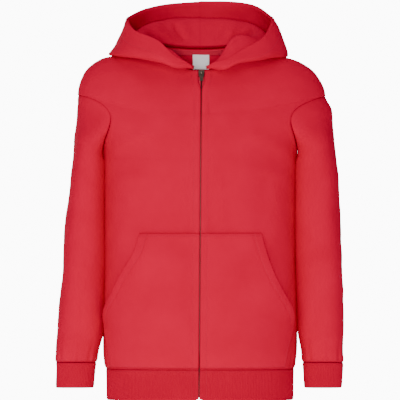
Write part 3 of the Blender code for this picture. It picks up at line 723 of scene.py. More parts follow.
def mathNode(tree, operation, first, second=None, third=None):
    node = newNode(tree, "ShaderNodeMath", operation=operation)
    for socket, value in zip(node.inputs, (first, second, third)):
        if value is None:
            continue
        if isinstance(value, (int, float)):
            socket.default_value = value
        else:
            tree.links.new(value, socket)
    return node.outputs[0]


def noiseNode(tree, vector, scale, detail=2.0, roughness=0.5):
    values = {"Scale": scale, "Detail": detail, "Roughness": roughness}
    return newNode(tree, "ShaderNodeTexNoise", [("Vector", vector)], values).outputs["Fac"]


def mixColour(tree, factor, first, second):
    node = newNode(tree, "ShaderNodeMix", data_type="RGBA")
    for label, value in (("Factor", factor), ("A", first), ("B", second)):
        socket = node.inputs[label]
        if isinstance(value, (int, float)):
            socket.default_value = value
        elif isinstance(value, tuple):
            socket.default_value = (*value, 1.0)
        else:
            tree.links.new(value, socket)
    return node.outputs["Result"]


def buildKnitLoops():
    # Rows of small V loops, in a UV map laid out in metres.
    group, start, end = makeGroup(
        "knitLoops",
        (("UV", "Vector"), ("Loop Width", "Float", 0.0011), ("Loop Height", "Float", 0.0009),
         ("Lean", "Float", 0.55)),
        (("Height", "Float"),),
    )
    split = newNode(group, "ShaderNodeSeparateXYZ", [(0, start.outputs["UV"])])
    u = mathNode(group, "DIVIDE", split.outputs[0], start.outputs["Loop Width"])
    v = mathNode(group, "DIVIDE", split.outputs[1], start.outputs["Loop Height"])
    across = mathNode(group, "PINGPONG", u, 0.5)
    leaning = mathNode(group, "MULTIPLY", across, start.outputs["Lean"])
    leaned = mathNode(group, "ADD", v, mathNode(group, "MULTIPLY", leaning, 2.0))
    rowWave = mathNode(group, "PINGPONG", leaned, 0.5)
    columnWave = mathNode(group, "SINE", mathNode(group, "MULTIPLY", across, 2 * math.pi))
    ridge = mathNode(group, "ABSOLUTE", columnWave)
    height = mathNode(group, "MULTIPLY", ridge, mathNode(group, "ADD", rowWave, 0.5))
    group.links.new(height, end.inputs["Height"])
    return group


def buildSoftNap():
    # A little unevenness of shade and surface that a brushed, washed cloth has.
    group, start, end = makeGroup(
        "softNap",
        (("Place", "Vector"), ("Broad", "Float", 18.0), ("Fine", "Float", 900.0)),
        (("Shade", "Float"), ("Fuzz", "Float")),
    )
    for size, result, detail, roughness in (("Broad", "Shade", 4.0, 0.5), ("Fine", "Fuzz", 3.0, 0.65)):
        links = [("Vector", start.outputs["Place"]), ("Scale", start.outputs[size])]
        values = {"Detail": detail, "Roughness": roughness}
        noise = newNode(group, "ShaderNodeTexNoise", links, values)
        group.links.new(noise.outputs["Fac"], end.inputs[result])
    return group


knitLoops = buildKnitLoops()
softNap = buildSoftNap()


def newMaterial(name, roughness):
    made = bpy.data.materials.new(name)
    made.use_nodes = True
    tree = made.node_tree
    shader = tree.nodes["Principled BSDF"]
    shader.inputs["Roughness"].default_value = roughness
    return made, tree, shader


def placeGroup(tree, group, values):
    node = newNode(tree, "ShaderNodeGroup", node_tree=group)
    for label, value in values.items():
        socket = node.inputs[label]
        if isinstance(value, (int, float)):
            socket.default_value = value
        else:
            tree.links.new(value, socket)
    return node


def addBump(tree, shader, height, distance):
    bump = newNode(tree, "ShaderNodeBump", [("Height", height)], {"Strength": 1.0, "Distance": distance})
    tree.links.new(bump.outputs["Normal"], shader.inputs["Normal"])


def knitMaterial(name, look):
    # Knitted cloth: loops in the cloth's own UV map, nap on top, painted shade in the pits between the loops
    # and painted shade along the seams.
    made, tree, shader = newMaterial(name, look["roughness"])
    shader.inputs["Specular IOR Level"].default_value = 0.02
    shader.inputs["Sheen Weight"].default_value = look["sheen"]
    shader.inputs["Sheen Roughness"].default_value = 0.5
    shader.inputs["Sheen Tint"].default_value = (*look["sheenTint"], 1.0)
    uv = newNode(tree, "ShaderNodeUVMap", uv_map="cloth")
    place = tree.nodes.new("ShaderNodeTexCoord").outputs["Object"]
    loopSizes = {"Loop Width": look["loopWidth"], "Loop Height": look["loopHeight"]}
    loops = placeGroup(tree, knitLoops, {"UV": uv.outputs[0], **loopSizes})
    nap = placeGroup(tree, softNap, {"Place": place, "Broad": look["broad"], "Fine": look["fine"]})
    # The seam attribute is painted shade along seams and stitching, mixed towards the deep colour.
    seam = newNode(tree, "ShaderNodeAttribute", attribute_name="seam")
    paintedSeamShadow = mathNode(tree, "MULTIPLY", seam.outputs["Fac"], look["seamPaintedShade"])
    blotch = mathNode(tree, "MULTIPLY_ADD", nap.outputs["Shade"], 1.6, -0.3)
    body = mixColour(tree, blotch, look["low"], look["high"])
    # Darker in the pits between the loops: painted shade of the knit's small hollows.
    pits = mathNode(tree, "SUBTRACT", 1.0, loops.outputs["Height"])
    knitted = mixColour(tree, mathNode(tree, "MULTIPLY", pits, look["loopShade"]), body, look["deep"])
    fuzzShade = mathNode(tree, "MULTIPLY", nap.outputs["Fuzz"], look["fuzzShade"])
    fuzzed = mixColour(tree, fuzzShade, knitted, look["fuzz"])
    colour = mixColour(tree, paintedSeamShadow, fuzzed, look["deep"])
    tree.links.new(colour, shader.inputs["Base Color"])
    height = mathNode(
        tree, "MULTIPLY_ADD", loops.outputs["Height"], look["loopDepth"],
        mathNode(tree, "MULTIPLY", nap.outputs["Fuzz"], look["fuzzDepth"]),
    )
    addBump(tree, shader, height, 1.0)
    return made


redCloth = {
    "low": (0.64, 0.0002, 0.033),
    "high": (0.72, 0.0005, 0.041),
    # deep is the colour of painted shade, in the pits between loops and along the seams.
    "deep": (0.30, 0.0001, 0.013),
    "fuzz": (0.80, 0.001, 0.052),
    "sheenTint": (1.0, 0.35, 0.40),
    "sheen": 0.012,
    "roughness": 0.92,
    "loopWidth": 0.0012,
    "loopHeight": 0.0010,
    "loopDepth": 0.00016,
    # loopShade: how dark the painted shade in the pits between loops is.
    "loopShade": 0.10,
    "fuzzDepth": 0.00022,
    "fuzzShade": 0.16,
    "broad": 22.0,
    "fine": 1100.0,
    # How dark the painted shade along the seams is.
    "seamPaintedShade": 0.30,
}
ribCloth = dict(redCloth, low=(0.50, 0.0002, 0.026), high=(0.57, 0.0004, 0.031), loopShade=0.14, sheen=0.01)
liningCloth = dict(redCloth, low=(0.63, 0.0002, 0.034), high=(0.71, 0.0005, 0.042))

fleece = knitMaterial("redFleece", redCloth)
ribKnit = knitMaterial("redRib", ribCloth)
lining = knitMaterial("redLining", liningCloth)


def threadMaterial(name, colour):
    made, tree, shader = newMaterial(name, 0.6)
    place = tree.nodes.new("ShaderNodeTexCoord").outputs["Object"]
    twist = noiseNode(tree, place, 2600.0, 1.0)
    deep = tuple(c * 0.6 for c in colour)
    tree.links.new(mixColour(tree, twist, deep, colour), shader.inputs["Base Color"])
    return made


thread = threadMaterial("redThread", (0.62, 0.0006, 0.038))
whiteThread = threadMaterial("whiteThread", (0.90, 0.90, 0.91))


def tapeMaterial(name, colour, pitch, shadeDepth):
    # Woven tape with a fine herringbone.
    made, tree, shader = newMaterial(name, 0.8)
    uv = newNode(tree, "ShaderNodeUVMap", uv_map="cloth")
    split = newNode(tree, "ShaderNodeSeparateXYZ", [(0, uv.outputs[0])])
    zigzag = mathNode(tree, "PINGPONG", split.outputs[0], pitch * 2)
    twill = mathNode(tree, "ADD", split.outputs[1], zigzag)
    wave = mathNode(tree, "SINE", mathNode(tree, "MULTIPLY", twill, 2 * math.pi / pitch))
    shade = mathNode(tree, "MULTIPLY_ADD", wave, 0.5, 0.5)
    deep = tuple(c * shadeDepth for c in colour)
    tree.links.new(mixColour(tree, shade, deep, colour), shader.inputs["Base Color"])
    addBump(tree, shader, shade, 0.00012)
    return made


# The tape's red is lighter than the fleece's: partly painted light, making up for the shade inside the neck.
wovenTapePaintedLight = tapeMaterial("redTape", (0.78, 0.0016, 0.046), 0.0008, 0.74)
labelSatin = tapeMaterial("whiteLabel", (0.99, 0.99, 0.99), 0.0005, 0.96)


def metalMaterial(name, look):
    # Cast metal with a worn, darker film in random patches.
    made, tree, shader = newMaterial(name, look["roughness"])
    shader.inputs["Metallic"].default_value = 1.0
    place = tree.nodes.new("ShaderNodeTexCoord").outputs["Object"]
    patina = noiseNode(tree, place, look["patina"], 4.0, 0.6)
    tree.links.new(mixColour(tree, patina, look["dark"], look["bright"]), shader.inputs["Base Color"])
    rough = mathNode(tree, "MULTIPLY_ADD", patina, 0.3, look["roughness"] - 0.15)
    tree.links.new(rough, shader.inputs["Roughness"])
    return made


brassLook = {
    "dark": (0.045, 0.032, 0.026),
    "bright": (0.23, 0.17, 0.13),
    "roughness": 0.42,
    "patina": 500.0,
}
# The teeth's dark reddish colour is partly their own metal and partly painted shade, the deep shadow of the
# narrow slot between the zip's edges.
toothLookPaintedShade = {
    "dark": (0.030, 0.014, 0.012),
    "bright": (0.13, 0.060, 0.052),
    "roughness": 0.46,
    "patina": 260.0,
}
agedBrass = metalMaterial("agedBrass", brassLook)
toothMetalPaintedShade = metalMaterial("toothMetalPaintedShade", toothLookPaintedShade)
print("materials ready")


# The two fronts and the back.

panelCut = {
    "rowsBelow": 104,
    "rowsArmhole": 64,
    "rowsShoulder": 46,
    "frontColumns": 66,
    "backColumns": 132,
    "seamDip": 0.0008,
    "seamDipWidth": 0.0028,
    "sideDip": 0.6,  # of that, at the side and armhole seams
    "seamPaintedShadeWidth": 0.0013,
    "facing": 0.0090,  # from the zip's edge to its topstitching
    "facingFoot": 0.0012,
    "facingLift": 0.0005,
    "stitchDip": 0.0005,
    "stitchDipWidth": 0.0011,
    # Painted shade along the topstitching beside the zip, as a share of the seam mark.
    "stitchShade": 0.5,
    "stitchShadeWidth": 0.0008,
    "zipRoll": 0.42,
    "edgeFade": 0.012,  # folds fade this close to a seam
    "openFade": 0.020,  # and this close to the zip and the neck
    "gatherDepth": 0.0009,
    "gatherPitch": 0.017,
    "gatherHeight": 0.030,
    "gatherFade": 1.3,
    "gatherRise": 0.006,
    "gatherRadius": 0.12,
    "waves": {"shortest": 0.07, "longest": 0.19, "amount": 0.0011, "stretch": (1.0, 1.0, 1.7)},
    "ripples": {"shortest": 0.025, "longest": 0.06, "amount": 0.00022},
}
# height mm, half width mm and the line (x, z) in mm, as seen from the front
frontFolds = {
    "left": (
        (2.2, 11, ((146, -158), (120, -132), (92, -118), (60, -112))),
        (1.6, 10, ((144, -190), (122, -172), (98, -166), (72, -170))),
        (-1.6, 13, ((150, -60), (112, -66), (70, -84), (30, -120))),
        (1.5, 15, ((138, -300), (120, -250), (112, -200), (118, -160))),
        (1.2, 14, ((40, -240), (52, -190), (70, -150), (96, -118))),
        (-1.4, 16, ((84, -255), (90, -220), (100, -190), (120, -170))),
        (1.3, 10, ((20, -150), (30, -190), (34, -240), (28, -300))),
    ),
    "right": (
        (2.0, 11, ((-145, -150), (-120, -128), (-88, -116), (-56, -112))),
        (1.4, 10, ((-144, -196), (-120, -180), (-96, -176), (-70, -182))),
        (-1.4, 13, ((-150, -62), (-110, -70), (-70, -90), (-34, -124))),
        (1.4, 15, ((-137, -310), (-122, -260), (-112, -210), (-116, -168))),
        (1.1, 14, ((-36, -260), (-50, -210), (-66, -164), (-92, -128))),
        (1.2, 10, ((-18, -140), (-26, -190), (-30, -240), (-24, -310))),
    ),
}
backFolds = (
    (2.4, 13, ((-140, -140), (-90, -118), (-30, -108), (30, -108), (90, -118), (140, -140))),
    (1.8, 12, ((-140, -180), (-80, -165), (0, -160), (80, -168), (140, -186))),
    (2.0, 15, ((-96, -440), (-84, -380), (-78, -300), (-84, -220))),
    (1.8, 15, ((92, -446), (82, -390), (74, -320), (80, -240))),
    (1.5, 14, ((8, -450), (-4, -390), (2, -320), (-4, -250))),
    (-1.8, 18, ((-40, -440), (-44, -370), (-36, -290), (-42, -210))),
    (-1.6, 18, ((46, -440), (38, -380), (40, -300), (34, -220))),
)


def panelLevels():
    below = np.linspace(0.0, 5.0, panelCut["rowsBelow"], endpoint=False)
    psi = 180 - 180 * np.linspace(0, 1, panelCut["rowsArmhole"])
    above = np.linspace(7.0, 11.0, panelCut["rowsShoulder"])[1:]
    level, front, back = armholeAt(psi)
    gap = lambda l: np.degrees(bodyCut["seamGap"] / 2 / bodyAt(l).depthBack)
    levels = np.concatenate([below, level, above])
    reach = [np.concatenate([gap(below), np.maximum(side, gap(level)), gap(above)]) for side in (front, back)]
    return levels, reach[0], reach[1]


def acrossPanel(share, start, middle, reach):
    whole = middle - start
    return start + whole * share - np.copysign(reach, whole) * share**1.7


def gathers(points, distance, seed):
    # Small upright puckers where the cloth is eased into a band.
    angle = np.arctan2(points[..., 0], -points[..., 1])
    random = np.random.default_rng(seed)
    around = angle * panelCut["gatherRadius"] / panelCut["gatherPitch"] * 2 * math.pi
    wave = np.sin(around + random.uniform(0, 6)) + 0.6 * np.sin(around * 1.63 + random.uniform(0, 6))
    wave += 0.4 * np.sin(around * 0.57 + 2.0)
    fade = np.exp(-((distance / panelCut["gatherHeight"]) ** panelCut["gatherFade"]))
    fade = fade * smoothStep(0.0, panelCut["gatherRise"], distance)
    return wave * fade * panelCut["gatherDepth"]


def bodyRelief(points):
    return softWaves(points, 7, **panelCut["waves"]) + softWaves(points, 11, **panelCut["ripples"])


def seamPaintedShade(*distances):
    # A dark line of painted shade along each seam, for the material: the shade that falls in the seam's
    # groove.
    return np.maximum.reduce([near(distance, panelCut["seamPaintedShadeWidth"]) for distance in distances])


def sewnDown(lift, edge, sides):
    # The cloth sinks where it is sewn: at its foot, its top and, less, at its sides.
    for distance, depth in ((edge.first, 1.0), (edge.last, 1.0), (sides, panelCut["sideDip"])):
        lift = lift - depth * panelCut["seamDip"] * near(distance, panelCut["seamDipWidth"])
    return lift


def buildFront(name, side):
    look = panelCut
    levels, reach, _ = panelLevels()
    z = bodyAt(levels).zFront
    start = frontAngle(levels, zipX(z) + side * slotHalfWidth(z))
    share = np.linspace(0, 1, look["frontColumns"] + 1)
    angle = acrossPanel(share[None], start[:, None], side * 90.0, reach[:, None])
    level = np.broadcast_to(levels[:, None], angle.shape)
    base, normal = bodyPoint(level, angle), bodyNormal(level, angle)
    edge = edgeDistances(base)
    lift = bodyRelief(base) + foldRelief(base, frontFolds[name])
    flatten = smoothStep(0.0, look["openFade"], edge.left) * smoothStep(0.0, look["edgeFade"], edge.right)
    flatten *= smoothStep(0.0, look["edgeFade"], edge.first) * smoothStep(0.0, look["openFade"], edge.last)
    lift = lift * flatten + gathers(base, edge.first, 5)
    lift = sewnDown(lift, edge, edge.right)
    facing = look["facing"]
    lift += look["facingLift"] * smoothStep(facing + look["facingFoot"], facing, edge.left)
    lift -= look["stitchDip"] * near(edge.left - facing, look["stitchDipWidth"])
    points = base + normal * lift[..., None]
    seam = seamPaintedShade(edge.first, edge.last, edge.right)
    # Painted shade along the zip's topstitching.
    seam = np.maximum(seam, look["stitchShade"] * near(edge.left - facing, look["stitchShadeWidth"]))
    rolls = (0, 0, look["zipRoll"], 0)
    return clothPiece("front_" + name, points, normal, bodyCut["fleece"], fleece, seam=seam, roll=rolls)


def buildBack():
    look = panelCut
    levels, _, reach = panelLevels()
    half = look["backColumns"] // 2
    share = np.linspace(0, 1, half + 1)
    first = acrossPanel(share[None, ::-1], 180.0, 90.0, reach[:, None])
    second = acrossPanel(share[None], 180.0, 270.0, reach[:, None])[:, 1:]
    angle = np.concatenate([first, second], 1)
    level = np.broadcast_to(levels[:, None], angle.shape)
    base, normal = bodyPoint(level, angle), bodyNormal(level, angle)
    edge = edgeDistances(base)
    sides = np.minimum(edge.left, edge.right)
    lift = bodyRelief(base) + foldRelief(base, backFolds, front=False)
    flatten = smoothStep(0.0, look["edgeFade"], sides)
    flatten *= smoothStep(0.0, look["edgeFade"], edge.first) * smoothStep(0.0, look["openFade"], edge.last)
    lift = sewnDown(lift * flatten + gathers(base, edge.first, 5), edge, sides)
    points = base + normal * lift[..., None]
    seam = seamPaintedShade(edge.first, edge.last, edge.left, edge.right)
    return clothPiece("back", points, normal, bodyCut["fleece"], fleece, seam=seam)


fronts = onBothSides(buildFront)
backPiece, backGrid = buildBack()
print("fronts and back ready")


# Sleeves.

sleeveLook = {
    "rows": 140,
    "columns": 128,
    "crowding": 1.12,  # above 1 the rows lie closer together at the armhole
    "seamDip": 0.0010,
    "seamDipWidth": 0.0028,
    "topFade": 0.015,
    "cuffFade": 0.012,
    "innerShare": 0.15,  # of the relief, beside the body
    "backShare": 0.8,  # of the front's folds, on its back
    "waves": {"shortest": 0.05, "longest": 0.13, "amount": 0.0010, "stretch": (1.0, 1.0, 1.6)},
    "ripples": {"shortest": 0.02, "longest": 0.05, "amount": 0.0002},
    "pucker": 0.0007,
    "puckerHeight": 0.022,
    "puckerFade": 1.3,
    "puckerRise": 0.005,
    "shoulderFull": {"left": 0.0062, "right": 0.0012},  # where the cloth stands out below the shoulder
    "shoulderFullAt": -0.060,
    "shoulderFullHeight": 0.030,
    "shoulderFullRise": 0.025,
}
sleeveFolds = {
    "left": (
        (2.0, 9, ((200, -120), (176, -132), (152, -150), (140, -172))),
        (-1.6, 10, ((204, -150), (180, -168), (156, -184), (142, -204))),
        (1.5, 9, ((208, -232), (186, -246), (160, -250), (144, -244))),
        (-1.4, 9, ((210, -262), (190, -272), (166, -278), (146, -272))),
        (1.6, 9, ((146, -292), (168, -302), (192, -300), (212, -288))),
        (1.2, 8, ((214, -420), (196, -414), (176, -418), (152, -430))),
    ),
    "right": (
        (1.8, 9, ((-192, -108), (-170, -124), (-150, -148), (-140, -176))),
        (-1.5, 10, ((-198, -146), (-174, -166), (-154, -186), (-142, -210))),
        (1.4, 9, ((-200, -226), (-182, -242), (-160, -250), (-144, -248))),
        (-1.2, 9, ((-204, -262), (-186, -276), (-164, -282), (-146, -276))),
        (1.4, 9, ((-146, -300), (-166, -312), (-190, -308), (-208, -294))),
        (1.1, 8, ((-214, -424), (-198, -416), (-178, -420), (-156, -432))),
    ),
}


def buildSleeve(name, side):
    look = sleeveLook
    rows, columns = look["rows"], look["columns"]
    down = np.linspace(0, 1, rows + 1)[:, None] ** look["crowding"]
    around = (np.arange(columns) * 360.0 / columns)[None]
    base, normal = sleevePoint(side, down, around), sleeveNormal(side, down, around)
    edge = edgeDistances(base, closed=True)
    turn = np.radians(around)
    lift = softWaves(base, 21, **look["waves"]) + softWaves(base, 12, **look["ripples"])
    lift += foldRelief(base, sleeveFolds[name])
    lift += look["backShare"] * foldRelief(base, sleeveFolds[name], front=False)
    outside = smoothStep(0.1, 0.5, (1 + np.cos(turn)) / 2)
    fade = smoothStep(0.0, look["topFade"], edge.first) * smoothStep(0.0, look["cuffFade"], edge.last)
    lift *= fade * (look["innerShare"] + (1 - look["innerShare"]) * outside)
    pucker = np.sin(turn * 13 + 1.0) + 0.6 * np.sin(turn * 21 + 2.0)
    fade = np.exp(-((edge.last / look["puckerHeight"]) ** look["puckerFade"]))
    lift += look["pucker"] * pucker * (fade * smoothStep(0.0, look["puckerRise"], edge.last))
    outer = np.maximum(np.cos(turn), 0.0) ** 1.5
    full = near(base[..., 2] - look["shoulderFullAt"], look["shoulderFullHeight"]) * outer
    lift += look["shoulderFull"][name] * full * smoothStep(0.0, look["shoulderFullRise"], edge.first)
    for distance in (edge.first, edge.last):
        lift -= look["seamDip"] * near(distance, look["seamDipWidth"])
    points = base + normal * lift[..., None]
    seam = seamPaintedShade(edge.first, edge.last)
    return clothPiece("sleeve_" + name, points, normal, bodyCut["fleece"], fleece, seam=seam, closed=True)


sleeves = onBothSides(buildSleeve)
print("sleeves ready")


# Ribbed waistband and cuffs.

ribLook = {
    "thickness": 0.0028,
    "pitch": 0.0025,
    "depth": 0.00032,
    "columnsPerRib": 5,
    "rows": 24,
    "hemRoll": 0.5,
    "sideRoll": 0.4,
    "seamDip": 0.0008,
    "seamDipWidth": 0.0026,
    "seamPaintedShadeWidth": 0.0016,
    "fade": (0.0006, 0.0035),  # the ribs flatten between these distances from an edge
    "sideFade": 0.004,
    "firstRow": 0.03,
    "topGap": 0.0085,  # in body levels, below the body's own seam
    "halfGirth": (0.139, 0.088),
    "girthFactor": 1.66,
    "cuffGirthAt": -0.475,
    "cuffNormalGap": 0.0117,  # below the seam, where the sleeve's own gathers would turn the normals
    "cornerRound": 0.0035,
    "cornerLift": 0.0026,
    "hemDrop": 0.0030,
    "hemDropHeight": 0.020,
}


def realizePainted(tree, source, material, end):
    real = newNode(tree, "GeometryNodeRealizeInstances", [("Geometry", source.outputs[0])])
    painted = [("Geometry", real.outputs[0]), ("Material", material)]
    tree.links.new(newNode(tree, "GeometryNodeSetMaterial", painted).outputs[0], end.inputs[0])


def buildRibTree():
    # Moves points in and out along their normals with the rib's own wave.
    tree, start, end = makeGroup(
        "ribKnit",
        (("Geometry", "Geometry"), ("Rib Pitch", "Float"), ("Rib Depth", "Float"), ("Knit", "Material")),
        (("Geometry", "Geometry"),),
        "GeometryNodeTree",
    )
    along, fade = [
        newNode(tree, "GeometryNodeInputNamedAttribute", values={"Name": name}, data_type="FLOAT")
        for name in ("ribs", "ribFade")
    ]
    turns = mathNode(tree, "DIVIDE", along.outputs["Attribute"], start.outputs["Rib Pitch"])
    wave = mathNode(tree, "COSINE", mathNode(tree, "MULTIPLY", turns, 2 * math.pi))
    height = mathNode(tree, "MULTIPLY", wave, start.outputs["Rib Depth"])
    height = mathNode(tree, "MULTIPLY", height, fade.outputs["Attribute"])
    normal = newNode(tree, "GeometryNodeInputNormal")
    lifted = [(0, normal.outputs[0]), ("Scale", height)]
    offset = newNode(tree, "ShaderNodeVectorMath", lifted, operation="SCALE")
    moved = [("Geometry", start.outputs["Geometry"]), ("Offset", offset.outputs[0])]
    realizePainted(tree, newNode(tree, "GeometryNodeSetPosition", moved), start.outputs["Knit"], end)
    return tree


def setInputs(modifier, values):
    for item in modifier.node_group.interface.items_tree:
        if item.item_type == "SOCKET" and item.in_out == "INPUT" and item.name in values:
            modifier[item.identifier] = values[item.name]


def bakedMesh(name, mesh, tree, values):
    # The node tree's result as a plain mesh.
    carrier = bpy.data.objects.new("carrier", mesh)
    bpy.context.scene.collection.objects.link(carrier)
    modifier = carrier.modifiers.new("nodes", "NODES")
    modifier.node_group = tree
    setInputs(modifier, values)
    bpy.context.view_layer.update()
    made = carrier.evaluated_get(bpy.context.evaluated_depsgraph_get())
    result = bpy.data.meshes.new_from_object(made)
    result.name = name
    bpy.data.objects.remove(carrier, do_unlink=True)
    return result


ribTree = buildRibTree()


def ribbed(name, points, normals, closed, seams, folds):
    # Seams and folds say for the first and the last row whether it is sewn on or folded round.
    edge = edgeDistances(points, closed)
    lift = np.zeros(points.shape[:2])
    seam = np.zeros(points.shape[:2])
    for sewn, distance in zip(seams, (edge.first, edge.last)):
        if sewn:
            lift -= ribLook["seamDip"] * near(distance, ribLook["seamDipWidth"])
            # Painted shade along the sewn edge.
            seam = np.maximum(seam, near(distance, ribLook["seamPaintedShadeWidth"]))
    points = points + normals * lift[..., None]
    middle = points.shape[0] // 2
    around = arcFromStart(points, 1)[middle]
    total = around[-1]
    if closed:
        total += np.linalg.norm(points[middle, 0] - points[middle, -1])
    count = round(total / ribLook["pitch"])
    ribs = np.broadcast_to(around / total * count * ribLook["pitch"], points.shape[:2])
    fade = smoothStep(*ribLook["fade"], edge.first) * smoothStep(*ribLook["fade"], edge.last)
    if not closed:
        fade = fade * smoothStep(0.0, ribLook["sideFade"], np.minimum(edge.left, edge.right))
    roll = [ribLook["hemRoll"] if fold else 0 for fold in folds]
    sides = [0 if closed else ribLook["sideRoll"]] * 2
    mesh = wallMesh(
        name, points, normals, ribLook["thickness"], closed, roll=(*roll, *sides),
        marks={"seam": seam, "ribs": ribs, "ribFade": fade},
    )
    values = {"Rib Pitch": ribLook["pitch"], "Rib Depth": ribLook["depth"], "Knit": ribKnit}
    return bakedMesh(name, mesh, ribTree, values), points


def buildWaistband():
    look = ribLook
    rows = look["rows"]
    level = np.concatenate([[-1.0], -1 + np.linspace(look["firstRow"], 1 - look["topGap"], rows)])[:, None]
    z = bodyAt(level[:, 0]).zFront
    left = frontAngle(level[:, 0], zipX(z) + zipLine["slot"])[:, None]
    right = 360 + frontAngle(level[:, 0], zipX(z) - zipLine["slot"])[:, None]
    around = 2 * sum(look["halfGirth"]) * look["girthFactor"]
    columns = int(around / look["pitch"] * look["columnsPerRib"])
    # Even steps along the cloth, so that every rib is as wide as the next.
    trial = np.linspace(0, 1, 2000)
    ring = bodyPoint(-0.5, left[rows // 2] + (right[rows // 2] - left[rows // 2]) * trial)
    arc = arcFromStart(ring[None], 1)[0]
    share = np.interp(np.linspace(0, arc[-1], columns), arc, trial)
    angle = left + (right - left) * share[None]
    level = np.broadcast_to(level, angle.shape)
    points, normals = bodyPoint(level, angle), bodyNormal(level, angle)
    edge = edgeDistances(points)
    corner = near(np.minimum(edge.left, edge.right), look["cornerRound"])
    corner = corner * near(edge.first, 2 * look["cornerRound"])
    points[..., 2] += look["cornerLift"] * corner - look["hemDrop"] * near(edge.first, look["hemDropHeight"])
    mesh, points = ribbed("waistband", points, normals, False, (False, True), (True, False))
    piece = addPiece("waistband", mesh, ribKnit, replaces=("waistband",))
    return piece, SimpleNamespace(points=points, normals=normals)


def buildCuff(name, side):
    seamZ = sleeveCut["cuffSeam"] - bodyCut["seamGap"]
    z = np.linspace(sleeveCut["cuffEnd"], seamZ, ribLook["rows"])[:, None]
    trial = np.linspace(0, 360, 1441)
    ring = sleeveTube(side, np.full(trial.shape, ribLook["cuffGirthAt"]), trial)
    arc = arcFromStart(ring[None], 1)[0]
    columns = int(arc[-1] / ribLook["pitch"]) * ribLook["columnsPerRib"]
    around = np.interp(np.arange(columns) * arc[-1] / columns, arc, trial)[None]
    zFull = np.broadcast_to(z, (z.shape[0], columns))
    aroundFull = np.broadcast_to(around, zFull.shape)
    surface = lambda u, v: sleeveTube(side, u, v % 360)
    below = np.minimum(zFull, seamZ - ribLook["cuffNormalGap"])
    normals = surfaceNormal(surface, below, aroundFull, 0.001, 1.0) * -side
    points = sleeveTube(side, zFull, aroundFull)
    mesh, points = ribbed("cuff_" + name, points, normals, True, (False, True), (True, False))
    piece = addPiece("cuff_" + name, mesh, ribKnit, replaces=("cuff_" + name,))
    return piece, SimpleNamespace(points=points, normals=normals)


waistband, waistbandGrid = buildWaistband()
cuffs = onBothSides(buildCuff)
print("ribbed bands ready")


# The hood and its lining.

hoodLook = {
    "rows": 110,
    "columns": 120,
    "hemWidth": 0.022,
    "hemDip": 0.00035,
    "hemDipWidth": 0.0010,
    "rimRoll": 0.45,
    "centreRoll": 0.4,
    "seamDip": 0.0007,
    "seamDipWidth": 0.0024,
    "centreDip": 0.00015,
    # Painted shade along the hood's centre seam.
    "centreShade": 0.25,
    "centreShadeWidth": 0.0011,
    "extraColumns": (179.5, 179.85),  # they keep the centre seam's own edge crisp
    "seamFade": 0.012,
    "rimFade": 0.010,
    "waves": {"shortest": 0.03, "longest": 0.08, "amount": 0.0007},
    "foldFade": {"centre": (0.0, 0.012), "rim": (0.004, 0.03), "neck": (0.0, 0.02)},
    "liningFolds": {
        "left": (
            (2.5, 8, ((66, 52), (62, 42), (57, 30), (50, 20))),
            (-3.0, 6, ((52, 48), (48, 38), (42, 28), (34, 18))),
            (-1.5, 6, ((22, 62), (30, 44), (24, 26))),
        ),
        "right": (
            (-3.2, 5, ((-42, 58), (-36, 46), (-26, 32), (-14, 22))),
            (3.0, 10, ((-78, 60), (-62, 42), (-46, 26), (-30, 14))),
            (1.6, 8, ((-30, 60), (-22, 44), (-14, 30))),
        ),
    },
}


def buildHood(name, side, isLining):
    look = hoodLook
    up = np.linspace(0, 1, look["rows"] + 1)[:, None]
    angle = np.linspace(hoodCut["start"], 180, look["columns"] + 1)
    angle = np.sort(np.concatenate([angle, look["extraColumns"]]))[None]
    base, normal = hoodPoint(side, up, angle), hoodNormal(side, up, angle)
    edge = edgeDistances(base)
    lift = softWaves(base, 33, **look["waves"])
    lift *= smoothStep(0.0, look["seamFade"], np.minimum(edge.first, edge.right))
    lift *= smoothStep(0.0, look["rimFade"], edge.last)
    lift -= look["seamDip"] * near(edge.first, look["seamDipWidth"])
    lift -= look["centreDip"] * near(edge.right, look["seamDipWidth"])
    if isLining:
        lift -= hoodCut["cloth"] + hoodCut["layerGap"]
        fade = look["foldFade"]
        settle = smoothStep(*fade["centre"], edge.right) * smoothStep(*fade["rim"], edge.last)
        settle = settle * smoothStep(*fade["neck"], edge.first)
        lift -= foldRelief(base, look["liningFolds"][name], front=False) * settle
    else:
        lift -= look["hemDip"] * near(edge.last - look["hemWidth"], look["hemDipWidth"])
    points = base + normal * lift[..., None]
    # Painted shade along the centre seam and the neck seam.
    seam = look["centreShade"] * near(edge.right, look["centreShadeWidth"])
    seam = np.maximum(seamPaintedShade(edge.first), seam)
    label = ("hood_lining_" if isLining else "hood_") + name
    rolls = (0, look["rimRoll"], look["centreRoll"], 0)
    material = lining if isLining else fleece
    return clothPiece(label, points, normal, hoodCut["cloth"], material, seam=seam, roll=rolls)


hoods = onBothSides(buildHood, False)
linings = onBothSides(buildHood, True)
print("hood ready")


# Front pockets, open along their slanting edge.

